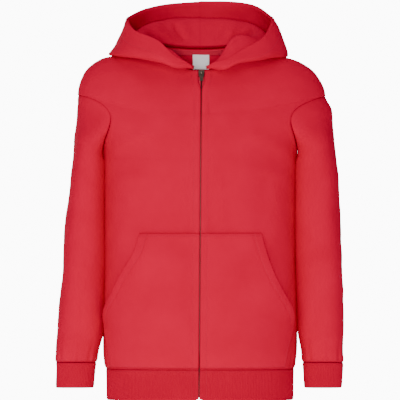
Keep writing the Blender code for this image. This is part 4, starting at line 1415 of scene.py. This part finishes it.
pocketCut = {
    "columns": "z leftEdge rightEdge",
    "rows": (
        (-0.4600, 0.1240, 0.1310),
        (-0.4300, 0.1300, 0.1360),
        (-0.3930, 0.1365, 0.1410),
        (-0.3790, 0.1335, 0.1385),
        (-0.3480, 0.1175, 0.1245),
        (-0.3150, 0.1030, 0.1090),
        (-0.2880, 0.0955, 0.0955),
        (-0.2605, 0.0900, 0.0885),
    ),
    "fullness": 0.0085,
    "layerGap": 0.0008,
    "mouthTop": -0.2605,
    "mouthFoot": -0.3930,
    "mouthFlat": 0.25,  # the share of its width, from the zip, that stays flat beside the mouth
    "mouthPower": 0.8,
    "bodyFull": 0.45,  # of the mouth's fullness
    "blend": 0.25,
    "zipGap": 0.012,
    "footFade": 0.020,
    "steps": 74,
    "hemWidth": 0.0125,
    "hemLift": 0.0006,
    "hemStep": (0.0010, 0.0005),
    "hemDip": 0.0005,
    "hemStart": (0.002, 0.004),
    "stitchWidth": 0.0010,
    "topStitch": 0.0035,
    "zipDip": 0.0004,
    "footDip": 0.0007,
    "footDipWidth": 0.0022,
    "reliefShare": 0.6,
    "edgeFade": 0.02,
    # Painted shade along the pocket's hem stitching and top stitching.
    "hemShade": 0.7,
    "topShade": 0.6,
    "stitchShadeWidth": 0.0009,
    "rolls": (0, 0.4, 0.4, 0.45),
    "waves": {"shortest": 0.05, "longest": 0.12, "amount": 0.0007},
}
pocketAt = readTable(pocketCut["columns"], pocketCut["rows"])


def pocketLift(side, level, angle):
    # Sewn down at its top, foot and zip edge, and full at its open slanting edge.
    look = pocketCut
    point = bodyPoint(level, angle)
    x, z = side * point[..., 0], point[..., 2]
    row = pocketAt(z)
    edge = row.leftEdge if side > 0 else row.rightEdge
    share = np.clip((x - look["zipGap"]) / (edge - look["zipGap"]), 0.0, 1.0)
    height = (z - look["mouthFoot"]) / (look["mouthTop"] - look["mouthFoot"])
    along = np.where(height >= 0, np.sin(math.pi * np.clip(height, 0, 1) ** look["mouthPower"]), 0.0)
    below = smoothStep(look["rows"][0][0], look["mouthFoot"] + look["footFade"], z)
    body = look["bodyFull"] * np.sin(math.pi * share) * below * (1 - np.maximum(height, 0.0) ** 4)
    mouth = along * smoothStep(look["mouthFlat"], 1.0, share)
    # The greater of the two, rounded where they meet.
    greater = (mouth + body + np.hypot(mouth - body, look["blend"] * share)) / 2
    return look["layerGap"] + bodyCut["fleece"] + look["fullness"] * np.clip(greater, 0, 1)


def buildPocket(name, side):
    look = pocketCut
    steps = look["steps"]
    z = np.linspace(look["rows"][0][0], look["rows"][-1][0], steps + 1)
    level = levelOf(z)
    row = pocketAt(z)
    outer = row.leftEdge if side > 0 else row.rightEdge
    start = frontAngle(level, zipX(z) + side * zipLine["slot"])[:, None]
    end = frontAngle(level, side * outer)[:, None]
    angle = start + (end - start) * np.linspace(0, 1, steps + 1)[None]
    level = np.broadcast_to(level[:, None], angle.shape)
    base, normal = bodyPoint(level, angle), bodyNormal(level, angle)
    edge = edgeDistances(base)
    lift = pocketLift(side, level, angle)
    fade = [smoothStep(0.0, look["edgeFade"], distance) for distance in (edge.right, edge.left, edge.last)]
    lift = lift + softWaves(base, 9, **look["waves"]) * fade[0]
    lift += bodyRelief(base) * look["reliefShare"] * fade[1] * fade[2]
    (under, over), hem = look["hemStart"], look["hemWidth"]
    unsewn = smoothStep(look["mouthFoot"] - under, look["mouthFoot"] + over, base[..., 2])
    out, back = look["hemStep"]
    lift += look["hemLift"] * smoothStep(hem + out, hem - back, edge.right) * unsewn
    toHem, toTop = edge.right - hem, edge.last - look["topStitch"]
    lift -= look["hemDip"] * near(toHem, look["stitchWidth"]) * unsewn
    lift -= look["hemDip"] * near(toTop, look["stitchWidth"])
    lift -= look["zipDip"] * near(edge.left - panelCut["facing"], look["stitchWidth"])
    lift -= look["footDip"] * near(edge.first, look["footDipWidth"])
    points = base + normal * lift[..., None]
    # Painted shade along the pocket's stitching and its foot seam.
    hemShade = look["hemShade"] * near(toHem, look["stitchShadeWidth"]) * unsewn
    topShade = look["topShade"] * near(toTop, look["stitchShadeWidth"])
    seam = np.maximum.reduce([hemShade, topShade, seamPaintedShade(edge.first)])
    rolls = look["rolls"]
    return clothPiece("pocket_" + name, points, normal, bodyCut["fleece"], fleece, seam=seam, roll=rolls)


pockets = onBothSides(buildPocket)
print("pockets ready")

# The zip's tapes and its two rows of teeth.

zipLook = {
    "tapeWidth": 0.0130,
    "tapeInner": 0.0004,
    "tapeThickness": 0.0010,
    "layerGap": 0.0004,
    "rows": 240,
    "columns": 9,
    "onRib": (0.1, 0.65),  # the tape steps back between these levels, behind the thicker rib
    "toothPitch": 0.0021,
    "toothThickness": 0.55,  # as a share of the pitch
    "footLevel": -0.97,
    "toothWidth": 0.0011,
    "toothDepth": 0.0014,
    "toothSunk": 0.0015,
    "toothReach": 0.0006,
    "knobShare": (0.9, 0.9, 1.25),  # each tooth's round head, as shares of its block
}


def zipFrame(level, offset, lift):
    # Places beside the zip's line, so far to its side and so far out from the cloth's face.
    z = bodyAt(level).zFront
    angle = frontAngle(level, zipX(z) + offset)
    normals = bodyNormal(level, angle)
    return bodyPoint(level, angle) + normals * np.asarray(lift)[..., None], normals


def buildZipTape(name, side):
    level = np.linspace(zipLook["footLevel"], zipLine["topLevel"], zipLook["rows"])[:, None]
    offset = side * np.linspace(zipLook["tapeInner"], zipLook["tapeWidth"], zipLook["columns"])[None]
    level, offset = np.broadcast_arrays(level, offset)
    onRib = 1 - smoothStep(*zipLook["onRib"], level)
    behind = bodyCut["fleece"] + (ribLook["thickness"] - bodyCut["fleece"]) * onRib + zipLook["layerGap"]
    points, normals = zipFrame(level, offset, -behind)
    return clothPiece("zip_tape_" + name, points, normals, zipLook["tapeThickness"], wovenTapePaintedLight, "woven_tape")


def buildRowTree(name, makeShape, labels):
    # Places one small shape again and again along a path, its length along the path and its top outwards.
    sizes = [(label, "Float") for label in ("Spacing", *labels)]
    inputs = [("Geometry", "Geometry"), *sizes, ("Finish", "Material")]
    tree, start, end = makeGroup(name, inputs, [("Geometry", "Geometry")], "GeometryNodeTree")
    path = newNode(tree, "GeometryNodeMeshToCurve", [("Mesh", start.outputs["Geometry"])])
    steps = newNode(tree, "GeometryNodeCurveToPoints", [("Curve", path.outputs[0])], mode="LENGTH")
    tree.links.new(start.outputs["Spacing"], steps.inputs["Length"])
    outward = newNode(
        tree, "GeometryNodeInputNamedAttribute", values={"Name": "outward"}, data_type="FLOAT_VECTOR"
    )
    turn = newNode(
        tree, "FunctionNodeAxesToRotation", primary_axis="X", secondary_axis="Z",
        links=[("Primary Axis", steps.outputs["Tangent"]), ("Secondary Axis", outward.outputs["Attribute"])],
    )
    shape = makeShape(tree, start)
    put = newNode(
        tree, "GeometryNodeInstanceOnPoints",
        [("Points", steps.outputs["Points"]), ("Instance", shape), ("Rotation", turn.outputs[0])],
    )
    realizePainted(tree, put, start.outputs["Finish"], end)
    return tree


def stitchShape(tree, start):
    ball = {"Segments": 6, "Rings": 4, "Radius": 0.5}
    bead = newNode(tree, "GeometryNodeMeshUVSphere", values=ball)
    size = newNode(
        tree, "ShaderNodeCombineXYZ",
        [("X", start.outputs["Length"]), ("Y", start.outputs["Width"]), ("Z", start.outputs["Height"])],
    )
    sized = [("Geometry", bead.outputs[0]), ("Scale", size.outputs[0])]
    return newNode(tree, "GeometryNodeTransform", sized).outputs[0]


def toothShape(tree, start):
    # A block across the zip with a smaller head on the side where the rows meet.
    size = newNode(
        tree, "ShaderNodeCombineXYZ",
        [("X", start.outputs["Width"]), ("Y", start.outputs["Length"]), ("Z", start.outputs["Height"])],
    )
    block = newNode(tree, "GeometryNodeMeshCube", [("Size", size.outputs[0])])
    knob = newNode(tree, "GeometryNodeMeshUVSphere", values={"Segments": 8, "Rings": 5, "Radius": 0.5})
    bigger = newNode(
        tree, "ShaderNodeVectorMath", [(0, size.outputs[0])], {1: zipLook["knobShare"]}, operation="MULTIPLY"
    )
    shaped = newNode(
        tree, "GeometryNodeTransform", [("Geometry", knob.outputs[0]), ("Scale", bigger.outputs[0])]
    )
    both = newNode(tree, "GeometryNodeJoinGeometry")
    tree.links.new(block.outputs[0], both.inputs[0])
    tree.links.new(shaped.outputs[0], both.inputs[0])
    return both.outputs[0]


stitchTree = buildRowTree("stitches", stitchShape, ("Length", "Width", "Height"))
toothTree = buildRowTree("zipTeeth", toothShape, ("Length", "Width", "Height"))


def pathMesh(name, paths):
    # Open lines of points, each with the direction that faces out of the cloth there.
    points = np.concatenate([p for p, _ in paths])
    outward = np.concatenate([n for _, n in paths])
    edges, first = [], 0
    for p, _ in paths:
        edges += [(first + k, first + k + 1) for k in range(len(p) - 1)]
        first += len(p)
    mesh = bpy.data.meshes.new(name)
    mesh.from_pydata(points.tolist(), edges, [])
    attribute = mesh.attributes.new("outward", "FLOAT_VECTOR", "POINT")
    attribute.data.foreach_set("vector", outward.reshape(-1).astype(np.float32))
    return mesh


def buildTeeth(name, side):
    # The second row's teeth stand halfway between the first row's.
    pitch = zipLook["toothPitch"]
    top, foot = bodyAt(np.array([zipLine["topLevel"], zipLook["footLevel"]])).zFront
    heights = np.arange(foot + (pitch if side > 0 else pitch / 2), top - pitch, pitch / 2)
    level = np.interp(heights, frontHeights, frontSamples)
    sunk = np.full(level.shape, -zipLook["toothSunk"])
    points, normals = zipFrame(level, side * zipLook["toothReach"], sunk)
    values = {
        "Spacing": pitch, "Length": zipLook["toothWidth"], "Width": pitch * zipLook["toothThickness"],
        "Height": zipLook["toothDepth"], "Finish": toothMetalPaintedShade,
    }
    path = pathMesh("toothPath", [(points, normals)])
    mesh = bakedMesh("zipTeeth" + name.capitalize(), path, toothTree, values)
    mesh.shade_flat()
    return addPiece("zip_chain_" + name, mesh, toothMetalPaintedShade, replaces=("zip_chain_" + name,))


zipTapes = onBothSides(buildZipTape)
zipTeeth = onBothSides(buildTeeth)
print("zip tapes and teeth ready")

# The slider and its pull tab.

sliderLook = {
    "halfWidth": 0.0044,
    "footHalfWidth": 0.0031,
    "top": 0.0060,
    "foot": -0.0055,
    "plate": (0.0004, 0.0018),
    "backPlate": (-0.0052, -0.0041),
    "flange": (-0.0008, 0.0009),
    "flangeWidth": 0.0009,
    "flangeInset": (0.0005, 0.0040),  # from the slider's foot and from its top
    "flangeNarrowed": 0.85,
    "corner": 0.0018,
    "bridge": ((-0.0013, 0.0013), (-0.0044, 0.0009), (0.0038, 0.0056)),
    "bailHalfWidth": 0.0008,
    "bailReach": (0.0025, 0.0030),  # half its span up and down, and how far out it stands
    "bailInner": (0.62, 0.74),  # the inner curve, as shares of those
    "bailDrop": 0.0005,
    "bailRoot": 0.0012,
    "bailSteps": 9,
    "bevel": 0.00028,
    "axis": (0.0027, 0.0015),
}
pullLook = {
    "bar": 0.0010,
    "topHalfWidth": 0.0026,
    "waistHalfWidth": 0.0021,
    "endHalfWidth": 0.0027,
    "end": -0.0150,
    "eyeHalfWidth": 0.0015,
    "eyeFoot": -0.0042,
    "eyeTop": -0.0005,
    "corner": 0.0010,
    "hole": 0.0008,
    "holeAt": -0.0122,
    "bevel": 0.00026,
}


def sliderPlane():
    # The zip's own plane at the slider: across, out of the cloth and up, about the slider's middle.
    level = frontLevelOf(zipLine["sliderHeight"])
    angle = frontAngle(level, zipX(zipLine["sliderHeight"]))
    normal = bodyNormal(level, angle)
    turn = Matrix.Rotation(-math.atan2(normal[2], -normal[1]), 4, "X")
    return Matrix.Translation(Vector(bodyPoint(level, angle))) @ turn


def blockBetween(bm, across, out, up, narrowed=1.0):
    # Narrowed is the foot's width as a share of the top's.
    corners = []
    for z, share in ((min(up), narrowed), (max(up), 1.0)):
        for y in (-max(out), -min(out)):
            corners += [bm.verts.new((x * share, y, z)) for x in across]
    for face in ((0, 1, 3, 2), (4, 6, 7, 5), (0, 4, 5, 1), (2, 3, 7, 6), (0, 2, 6, 4), (1, 5, 7, 3)):
        bm.faces.new([corners[k] for k in face])


def outlinePlate(bm, outline, out, holes=()):
    # A flat plate with rounded ends, from its outline seen from the front.
    rings = [outline, *holes]
    loops = []
    for y in (-out[1], -out[0]):
        edges = []
        for ring in rings:
            verts = [bm.verts.new((x, y, z)) for x, z in ring]
            edges.append([bm.edges.new((a, b)) for a, b in zip(verts, verts[1:] + verts[:1])])
        bmesh.ops.triangle_fill(bm, use_beauty=True, edges=[e for ring in edges for e in ring])
        loops.append(edges)
    for front, back in zip(*loops):
        bmesh.ops.bridge_loops(bm, edges=front + back)


plateLook = {"cornerSteps": 6, "waistRise": 0.0015, "edgeSteps": 3, "edgeAngle": 38, "sharpAngle": 35}


def roundedEnds(top, foot, halfTop, halfWaist, halfFoot, corner):
    # Half widths at the top, the waist and the foot, with rounded corners.
    steps = plateLook["cornerSteps"]
    turns = [math.radians(90 * step / steps) for step in range(steps + 1)]
    points = []
    for turn in turns:
        points.append((halfFoot - corner + corner * math.sin(turn), foot + corner - corner * math.cos(turn)))
    points.append((halfWaist, (top + foot) / 2 + plateLook["waistRise"]))
    for turn in turns:
        points.append((halfTop - corner + corner * math.cos(turn), top - corner + corner * math.sin(turn)))
    return points + [(-x, z) for x, z in reversed(points)]


def metalPiece(name, bm, place, bevel, body, node):
    # Bevelled while it is still in its own plane, and then put in place.
    bmesh.ops.remove_doubles(bm, verts=bm.verts, dist=1e-7)
    bmesh.ops.recalc_face_normals(bm, faces=bm.faces)
    mesh = bpy.data.meshes.new(name)
    bm.to_mesh(mesh)
    bm.free()
    carrier = bpy.data.objects.new("carrier", mesh)
    bpy.context.scene.collection.objects.link(carrier)
    soften = carrier.modifiers.new("softEdges", "BEVEL")
    soften.width = bevel
    soften.segments = plateLook["edgeSteps"]
    soften.limit_method = "ANGLE"
    soften.angle_limit = math.radians(plateLook["edgeAngle"])
    bpy.context.view_layer.update()
    made = bpy.data.meshes.new_from_object(carrier.evaluated_get(bpy.context.evaluated_depsgraph_get()))
    bpy.data.objects.remove(carrier, do_unlink=True)
    made.name = name
    made.transform(place)
    made.shade_smooth()
    made.set_sharp_from_angle(angle=math.radians(plateLook["sharpAngle"]))
    return addPiece(name, made, agedBrass, body=body, replaces=(node,))


def buildSlider(place):
    look = sliderLook
    bm = bmesh.new()
    half = look["halfWidth"]
    shield = roundedEnds(look["top"], look["foot"], half, half, look["footHalfWidth"], look["corner"])
    outlinePlate(bm, shield, look["plate"])
    outlinePlate(bm, shield, look["backPlate"])
    blockBetween(bm, *look["bridge"])
    below, above = look["flangeInset"]
    for side in (1, -1):
        ends = sorted((side * (half - look["flangeWidth"]), side * half))
        upright = look["foot"] + below, look["top"] - above
        blockBetween(bm, ends, look["flange"], upright, look["flangeNarrowed"])
    # The bail is an arch over the pull's axis, from its outer and its inner curve.
    bail = (-look["bailHalfWidth"], look["bailHalfWidth"])
    middle, root = look["axis"][1] - look["bailDrop"], look["bailRoot"]
    (halfSpan, reach), (spanShare, reachShare) = look["bailReach"], look["bailInner"]
    turns = [math.pi * step / look["bailSteps"] for step in range(look["bailSteps"] + 1)]
    profile = [(middle + halfSpan * math.cos(turn), root + reach * math.sin(turn)) for turn in turns]
    inner = [(middle + (z - middle) * spanShare, root + (y - root) * reachShare) for z, y in profile]
    for ring in zip(profile, profile[1:], inner[1:], inner):
        corners = [bm.verts.new((x, -y, z)) for x in bail for z, y in ring]
        for face in ((0, 1, 5, 4), (2, 3, 7, 6), (0, 3, 2, 1), (4, 5, 6, 7)):
            bm.faces.new([corners[k] for k in face])
        if ring[0] == profile[0]:
            bm.faces.new([corners[k] for k in (0, 4, 7, 3)])
        if ring[1] == profile[-1]:
            bm.faces.new([corners[k] for k in (1, 2, 6, 5)])
    return metalPiece("zipSlider", bm, place, look["bevel"], "garment", "zip_slider")


def buildPull(place):
    look = pullLook
    bm = bmesh.new()
    half = look["bar"] / 2
    widths = look["topHalfWidth"], look["waistHalfWidth"], look["endHalfWidth"]
    outline = roundedEnds(half, look["end"], *widths, look["corner"])
    eyeHalf, eyeTop, eyeFoot = look["eyeHalfWidth"], look["eyeTop"], look["eyeFoot"]
    eye = [(-eyeHalf, eyeTop), (eyeHalf, eyeTop), (eyeHalf, eyeFoot), (-eyeHalf, eyeFoot)]
    hole = [
        (look["hole"] * math.cos(math.radians(a)), look["holeAt"] + look["hole"] * math.sin(math.radians(a)))
        for a in range(0, 360, 30)
    ]
    outlinePlate(bm, outline, (-half, half), (eye, hole))
    hinge = place @ Matrix.Translation((0.0, -sliderLook["axis"][0], sliderLook["axis"][1]))
    return metalPiece("zipPull", bm, hinge, look["bevel"], "pull", "zip_pull")


place = sliderPlane()
slider = buildSlider(place)
pull = buildPull(place)
print("slider and pull ready")


# Where the stitches run, from each edge, and how big one is.

stitchLook = {
    "spacing": 0.0031,
    "length": 0.0025,
    "width": 0.00055,
    "height": 0.00040,
    "zipEdge": panelCut["facing"],
    "pocketTop": pocketCut["topStitch"],
    "pocketHem": pocketCut["hemWidth"],
    "seam": 0.0030,
    "hoodHem": hoodLook["hemWidth"],
    "labelEdge": 0.0016,
}

# The tape over the back neck seam, and the bare label.

neckLook = {
    "tapeSpan": 62.0,
    "tapeFoot": 10.45,
    "tapeTop": 10.95,
    "tapeThickness": 0.0010,
    "tapeSize": (9, 121),
    "tapeStitch": {"at": 0.0012, "width": 0.0006, "height": 0.0002},
    "labelWidth": 0.0245,
    "labelTop": 0.0105,
    "labelFoot": -0.0130,
    "labelX": 0.0015,
    "labelY": 0.0592,
    "labelBow": 0.28,
    "labelThickness": 0.0007,
    "labelSize": 41,
    "labelSag": 0.0006,
    "labelRoll": 0.3,
    "borderHeight": 0.0002,
    "borderFade": 0.0010,
    "stitchWidth": 0.0005,
}


def buildNeckTape():
    look = neckLook
    rows, columns = look["tapeSize"]
    level = np.linspace(look["tapeFoot"], look["tapeTop"], rows)[:, None]
    angle = 180 + look["tapeSpan"] * np.linspace(-1, 1, columns)[None]
    level, angle = np.broadcast_arrays(level, angle)
    normals = bodyNormal(level, angle)
    points = bodyPoint(level, angle) - normals * (bodyCut["fleece"] + zipLook["layerGap"])
    edge = edgeDistances(points)
    stitch = look["tapeStitch"]
    raised = stitch["height"] * near(edge.first - stitch["at"], stitch["width"])
    points = points + normals * raised[..., None]
    return clothPiece("neck_tape", points, normals, look["tapeThickness"], wovenTapePaintedLight, "woven_tape")


def buildLabel():
    # Folded satin, sewn on round its edge, standing a little away from the neck at its foot.
    look = neckLook
    across = (np.linspace(0, 1, look["labelSize"])[None] - 0.5) * look["labelWidth"]
    z = np.linspace(look["labelFoot"], look["labelTop"], look["labelSize"])[:, None]
    across, z = np.broadcast_arrays(across, z)
    down = (look["labelTop"] - z) / (look["labelTop"] - look["labelFoot"])
    y = look["labelY"] - across**2 / look["labelBow"]
    y = y - look["labelSag"] * np.sin(math.pi * down) * np.cos(math.pi * across / look["labelWidth"])
    points = np.stack([look["labelX"] + across, y, z], -1)
    normals = np.broadcast_to(np.array([0.0, -1.0, 0.0]), points.shape)
    edge = edgeDistances(points)
    border = np.minimum.reduce([edge.first, edge.last, edge.left, edge.right])
    raised = smoothStep(0.0, look["borderFade"], border)
    raised = raised - near(border - stitchLook["labelEdge"], look["stitchWidth"])
    points = points + normals * (look["borderHeight"] * raised)[..., None]
    thickness, rolls = look["labelThickness"], [look["labelRoll"]] * 4
    return clothPiece("neck_label", points, normals, thickness, labelSatin, "label_satin", roll=rolls)


neckTape, neckTapeGrid = buildNeckTape()
label, labelGrid = buildLabel()
print("neck tape and label ready")


# Stitches, as small beads of thread along the seams.


def besideEdge(grid, edge, distance):
    # The line on a grid of points that keeps its distance from one edge of it.
    points, normals = grid.points, grid.normals
    if edge in ("first", "last"):
        points, normals = points.transpose(1, 0, 2), normals.transpose(1, 0, 2)
    if edge in ("last", "right"):
        points, normals = points[:, ::-1], normals[:, ::-1]
    arcs = arcFromStart(points, 1)
    line = [[np.interp(distance, arc, row[:, k]) for k in range(3)] for arc, row in zip(arcs, points)]
    facing = [[np.interp(distance, arc, row[:, k]) for k in range(3)] for arc, row in zip(arcs, normals)]
    return np.array(line), unit(np.array(facing))


def partOf(path, keep):
    return path[0][keep], path[1][keep]


def closedPath(path):
    return np.concatenate([path[0], path[0][:1]]), np.concatenate([path[1], path[1][:1]])


def redSeams():
    look = stitchLook
    paths = []
    pocketTopZ = pocketCut["rows"][-1][0]
    for _, grid in fronts.values():
        line = besideEdge(grid, "left", look["zipEdge"])
        paths.append(partOf(line, line[0][:, 2] > pocketTopZ + 0.001))
        paths.append(besideEdge(grid, "last", look["seam"]))
        line = besideEdge(grid, "first", look["seam"])
        paths.append(partOf(line, np.abs(line[0][:, 0]) > pocketCut["rows"][0][2]))
    for edge in ("first", "last"):
        paths.append(besideEdge(backGrid, edge, look["seam"]))
    for _, grid in pockets.values():
        paths.append(besideEdge(grid, "left", look["zipEdge"]))
        paths.append(besideEdge(grid, "last", look["pocketTop"]))
        paths.append(besideEdge(grid, "first", look["seam"]))
        line = besideEdge(grid, "right", look["pocketHem"])
        paths.append(partOf(line, line[0][:, 2] > pocketCut["mouthFoot"]))
        line = besideEdge(grid, "right", look["pocketTop"])
        paths.append(partOf(line, line[0][:, 2] < pocketCut["mouthFoot"]))
    paths.append(besideEdge(waistbandGrid, "last", look["seam"]))
    paths.append(besideEdge(waistbandGrid, "left", look["zipEdge"]))
    paths.append(besideEdge(waistbandGrid, "right", look["zipEdge"]))
    for _, grid in hoods.values():
        paths.append(besideEdge(grid, "last", look["hoodHem"]))
    for _, grid in sleeves.values():
        paths.append(closedPath(besideEdge(grid, "last", look["seam"])))
    return paths


def buildStitches(name, paths, material):
    look = stitchLook
    values = {
        "Spacing": look["spacing"], "Length": look["length"], "Width": look["width"],
        "Height": look["height"], "Finish": material,
    }
    mesh = bakedMesh(name, pathMesh(name + "Paths", [p for p in paths if len(p[0]) > 1]), stitchTree, values)
    mesh.shade_smooth()
    return addPiece(name, mesh, material)


stitches = buildStitches("topstitching", redSeams(), thread)
labelEdges = ("first", "last", "left", "right")
labelPaths = [besideEdge(labelGrid, edge, stitchLook["labelEdge"]) for edge in labelEdges]
labelStitches = buildStitches("labelStitching", labelPaths, whiteThread)
print("stitches ready")
